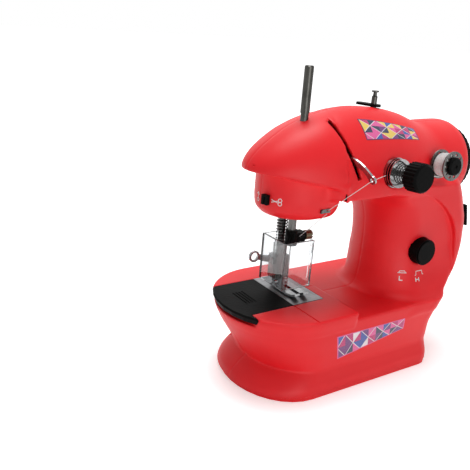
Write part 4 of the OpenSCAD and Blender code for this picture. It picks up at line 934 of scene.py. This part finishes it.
# %% Finishes for the CAD pieces
SLOT_FINISH = {"red_plastic": red_plastic, "black_plastic": black_plastic, "white_plastic": white_plastic,
               "clear_plastic": guard_plastic, "rubber": black_rubber, "thread": thread_finish, "steel": steel,
               "chrome": chrome, "spring_wire": spring_steel, "brass": brass}
OWN_FINISH = {"bobbin": steel, "spool_pin": pin_steel, "guide_post": pin_steel, "needle_plate": plate_steel,
              "main_shaft": plate_steel, "lower_shaft": plate_steel}
for part in frame["record"]["subparts"]:
    node = frame["nodes"][part["node"]]
    node.data.materials.clear()
    node.data.materials.append(OWN_FINISH.get(part["node"], SLOT_FINISH[part["material_slot"]]))

# %% [markdown]
# The stage is a white floor under soft studio light: a lamp overhead, a broad low one in front, a weak one
# behind, and an even sky. Rays that the camera, gloss or clear plastic sends past the object see plain white.
# The floor's own glow fades near the object, so that the shadow stays.

# %% Floor, lights and sky
def seen_directly(wire):
    """1 for rays from the camera, and for those that gloss or clear plastic sends on."""
    light_path = wire.tree.nodes.new("ShaderNodeLightPath")
    seen = Wire(wire.tree, light_path.outputs["Is Camera Ray"])
    for name in ("Is Glossy Ray", "Is Transmission Ray"):
        seen = seen.math("MAXIMUM", Wire(wire.tree, light_path.outputs[name]))
    return seen


def lamp(name, at, aim, size, watts):
    """A round area lamp, turned towards its aim."""
    data = bpy.data.lights.new(name, "AREA")
    data.shape, data.size, data.energy = "DISK", size, watts
    piece = bpy.data.objects.new(name, data)
    at = Vector(at)
    turn = (Vector(aim) - at).to_track_quat("-Z", "Y").to_matrix().to_4x4()
    piece.matrix_world = Matrix.Translation(at) @ turn
    bpy.context.scene.collection.objects.link(piece)


FLOOR_HALF = 6.0
corners = [(sx*FLOOR_HALF, sy*FLOOR_HALF, 0) for sx, sy in ((-1, -1), (1, -1), (1, 1), (-1, 1))]
floor = mesh_piece("floor", corners, [(0, 1, 2, 3)], smooth=False)
floor_paint, wire, link = finish("white_floor", Base_Color=(0.9, 0.9, 0.9), Roughness=0.9)
place = wire.node("ShaderNodeTexCoord", out=3)
reach = wire.node("ShaderNodeVectorMath", {"operation": "LENGTH"}, out=1, i0=place)
glow = reach.node("ShaderNodeMapRange", Value=reach, From_Min=0.25, From_Max=0.9, To_Min=0.5, To_Max=1.0)
link(Emission_Color=seen_directly(wire).mix((0, 0, 0), glow))
floor_paint.node_tree.nodes["Principled BSDF"].inputs["Emission Strength"].default_value = 1.0
floor.data.materials.append(floor_paint)
AIM, LOW_AIM = (0.0, 0.0, 0.1), (0.0, 0.0, 0.03)
lamp("key_light", (0.05, 0.1, 1.3), AIM, 0.6, 10)
lamp("fill_light", (-0.3, -1.2, 0.06), LOW_AIM, 0.8, 6.2)
lamp("rim_light", (0.3, 0.9, 0.9), AIM, 0.8, 2)
world = bpy.data.worlds.new("studio_sky")
bpy.context.scene.world = world
world.use_nodes = True
sky = Wire(world.node_tree)
background = world.node_tree.nodes["Background"]
background.inputs["Color"].default_value = (1, 1, 1, 1)
SKY_LEVEL = 0.28
strength = seen_directly(sky)*(1 - SKY_LEVEL) + SKY_LEVEL
world.node_tree.links.new(strength.socket, background.inputs["Strength"])
bpy.context.scene.view_settings.view_transform = "Standard"
print("stage set")
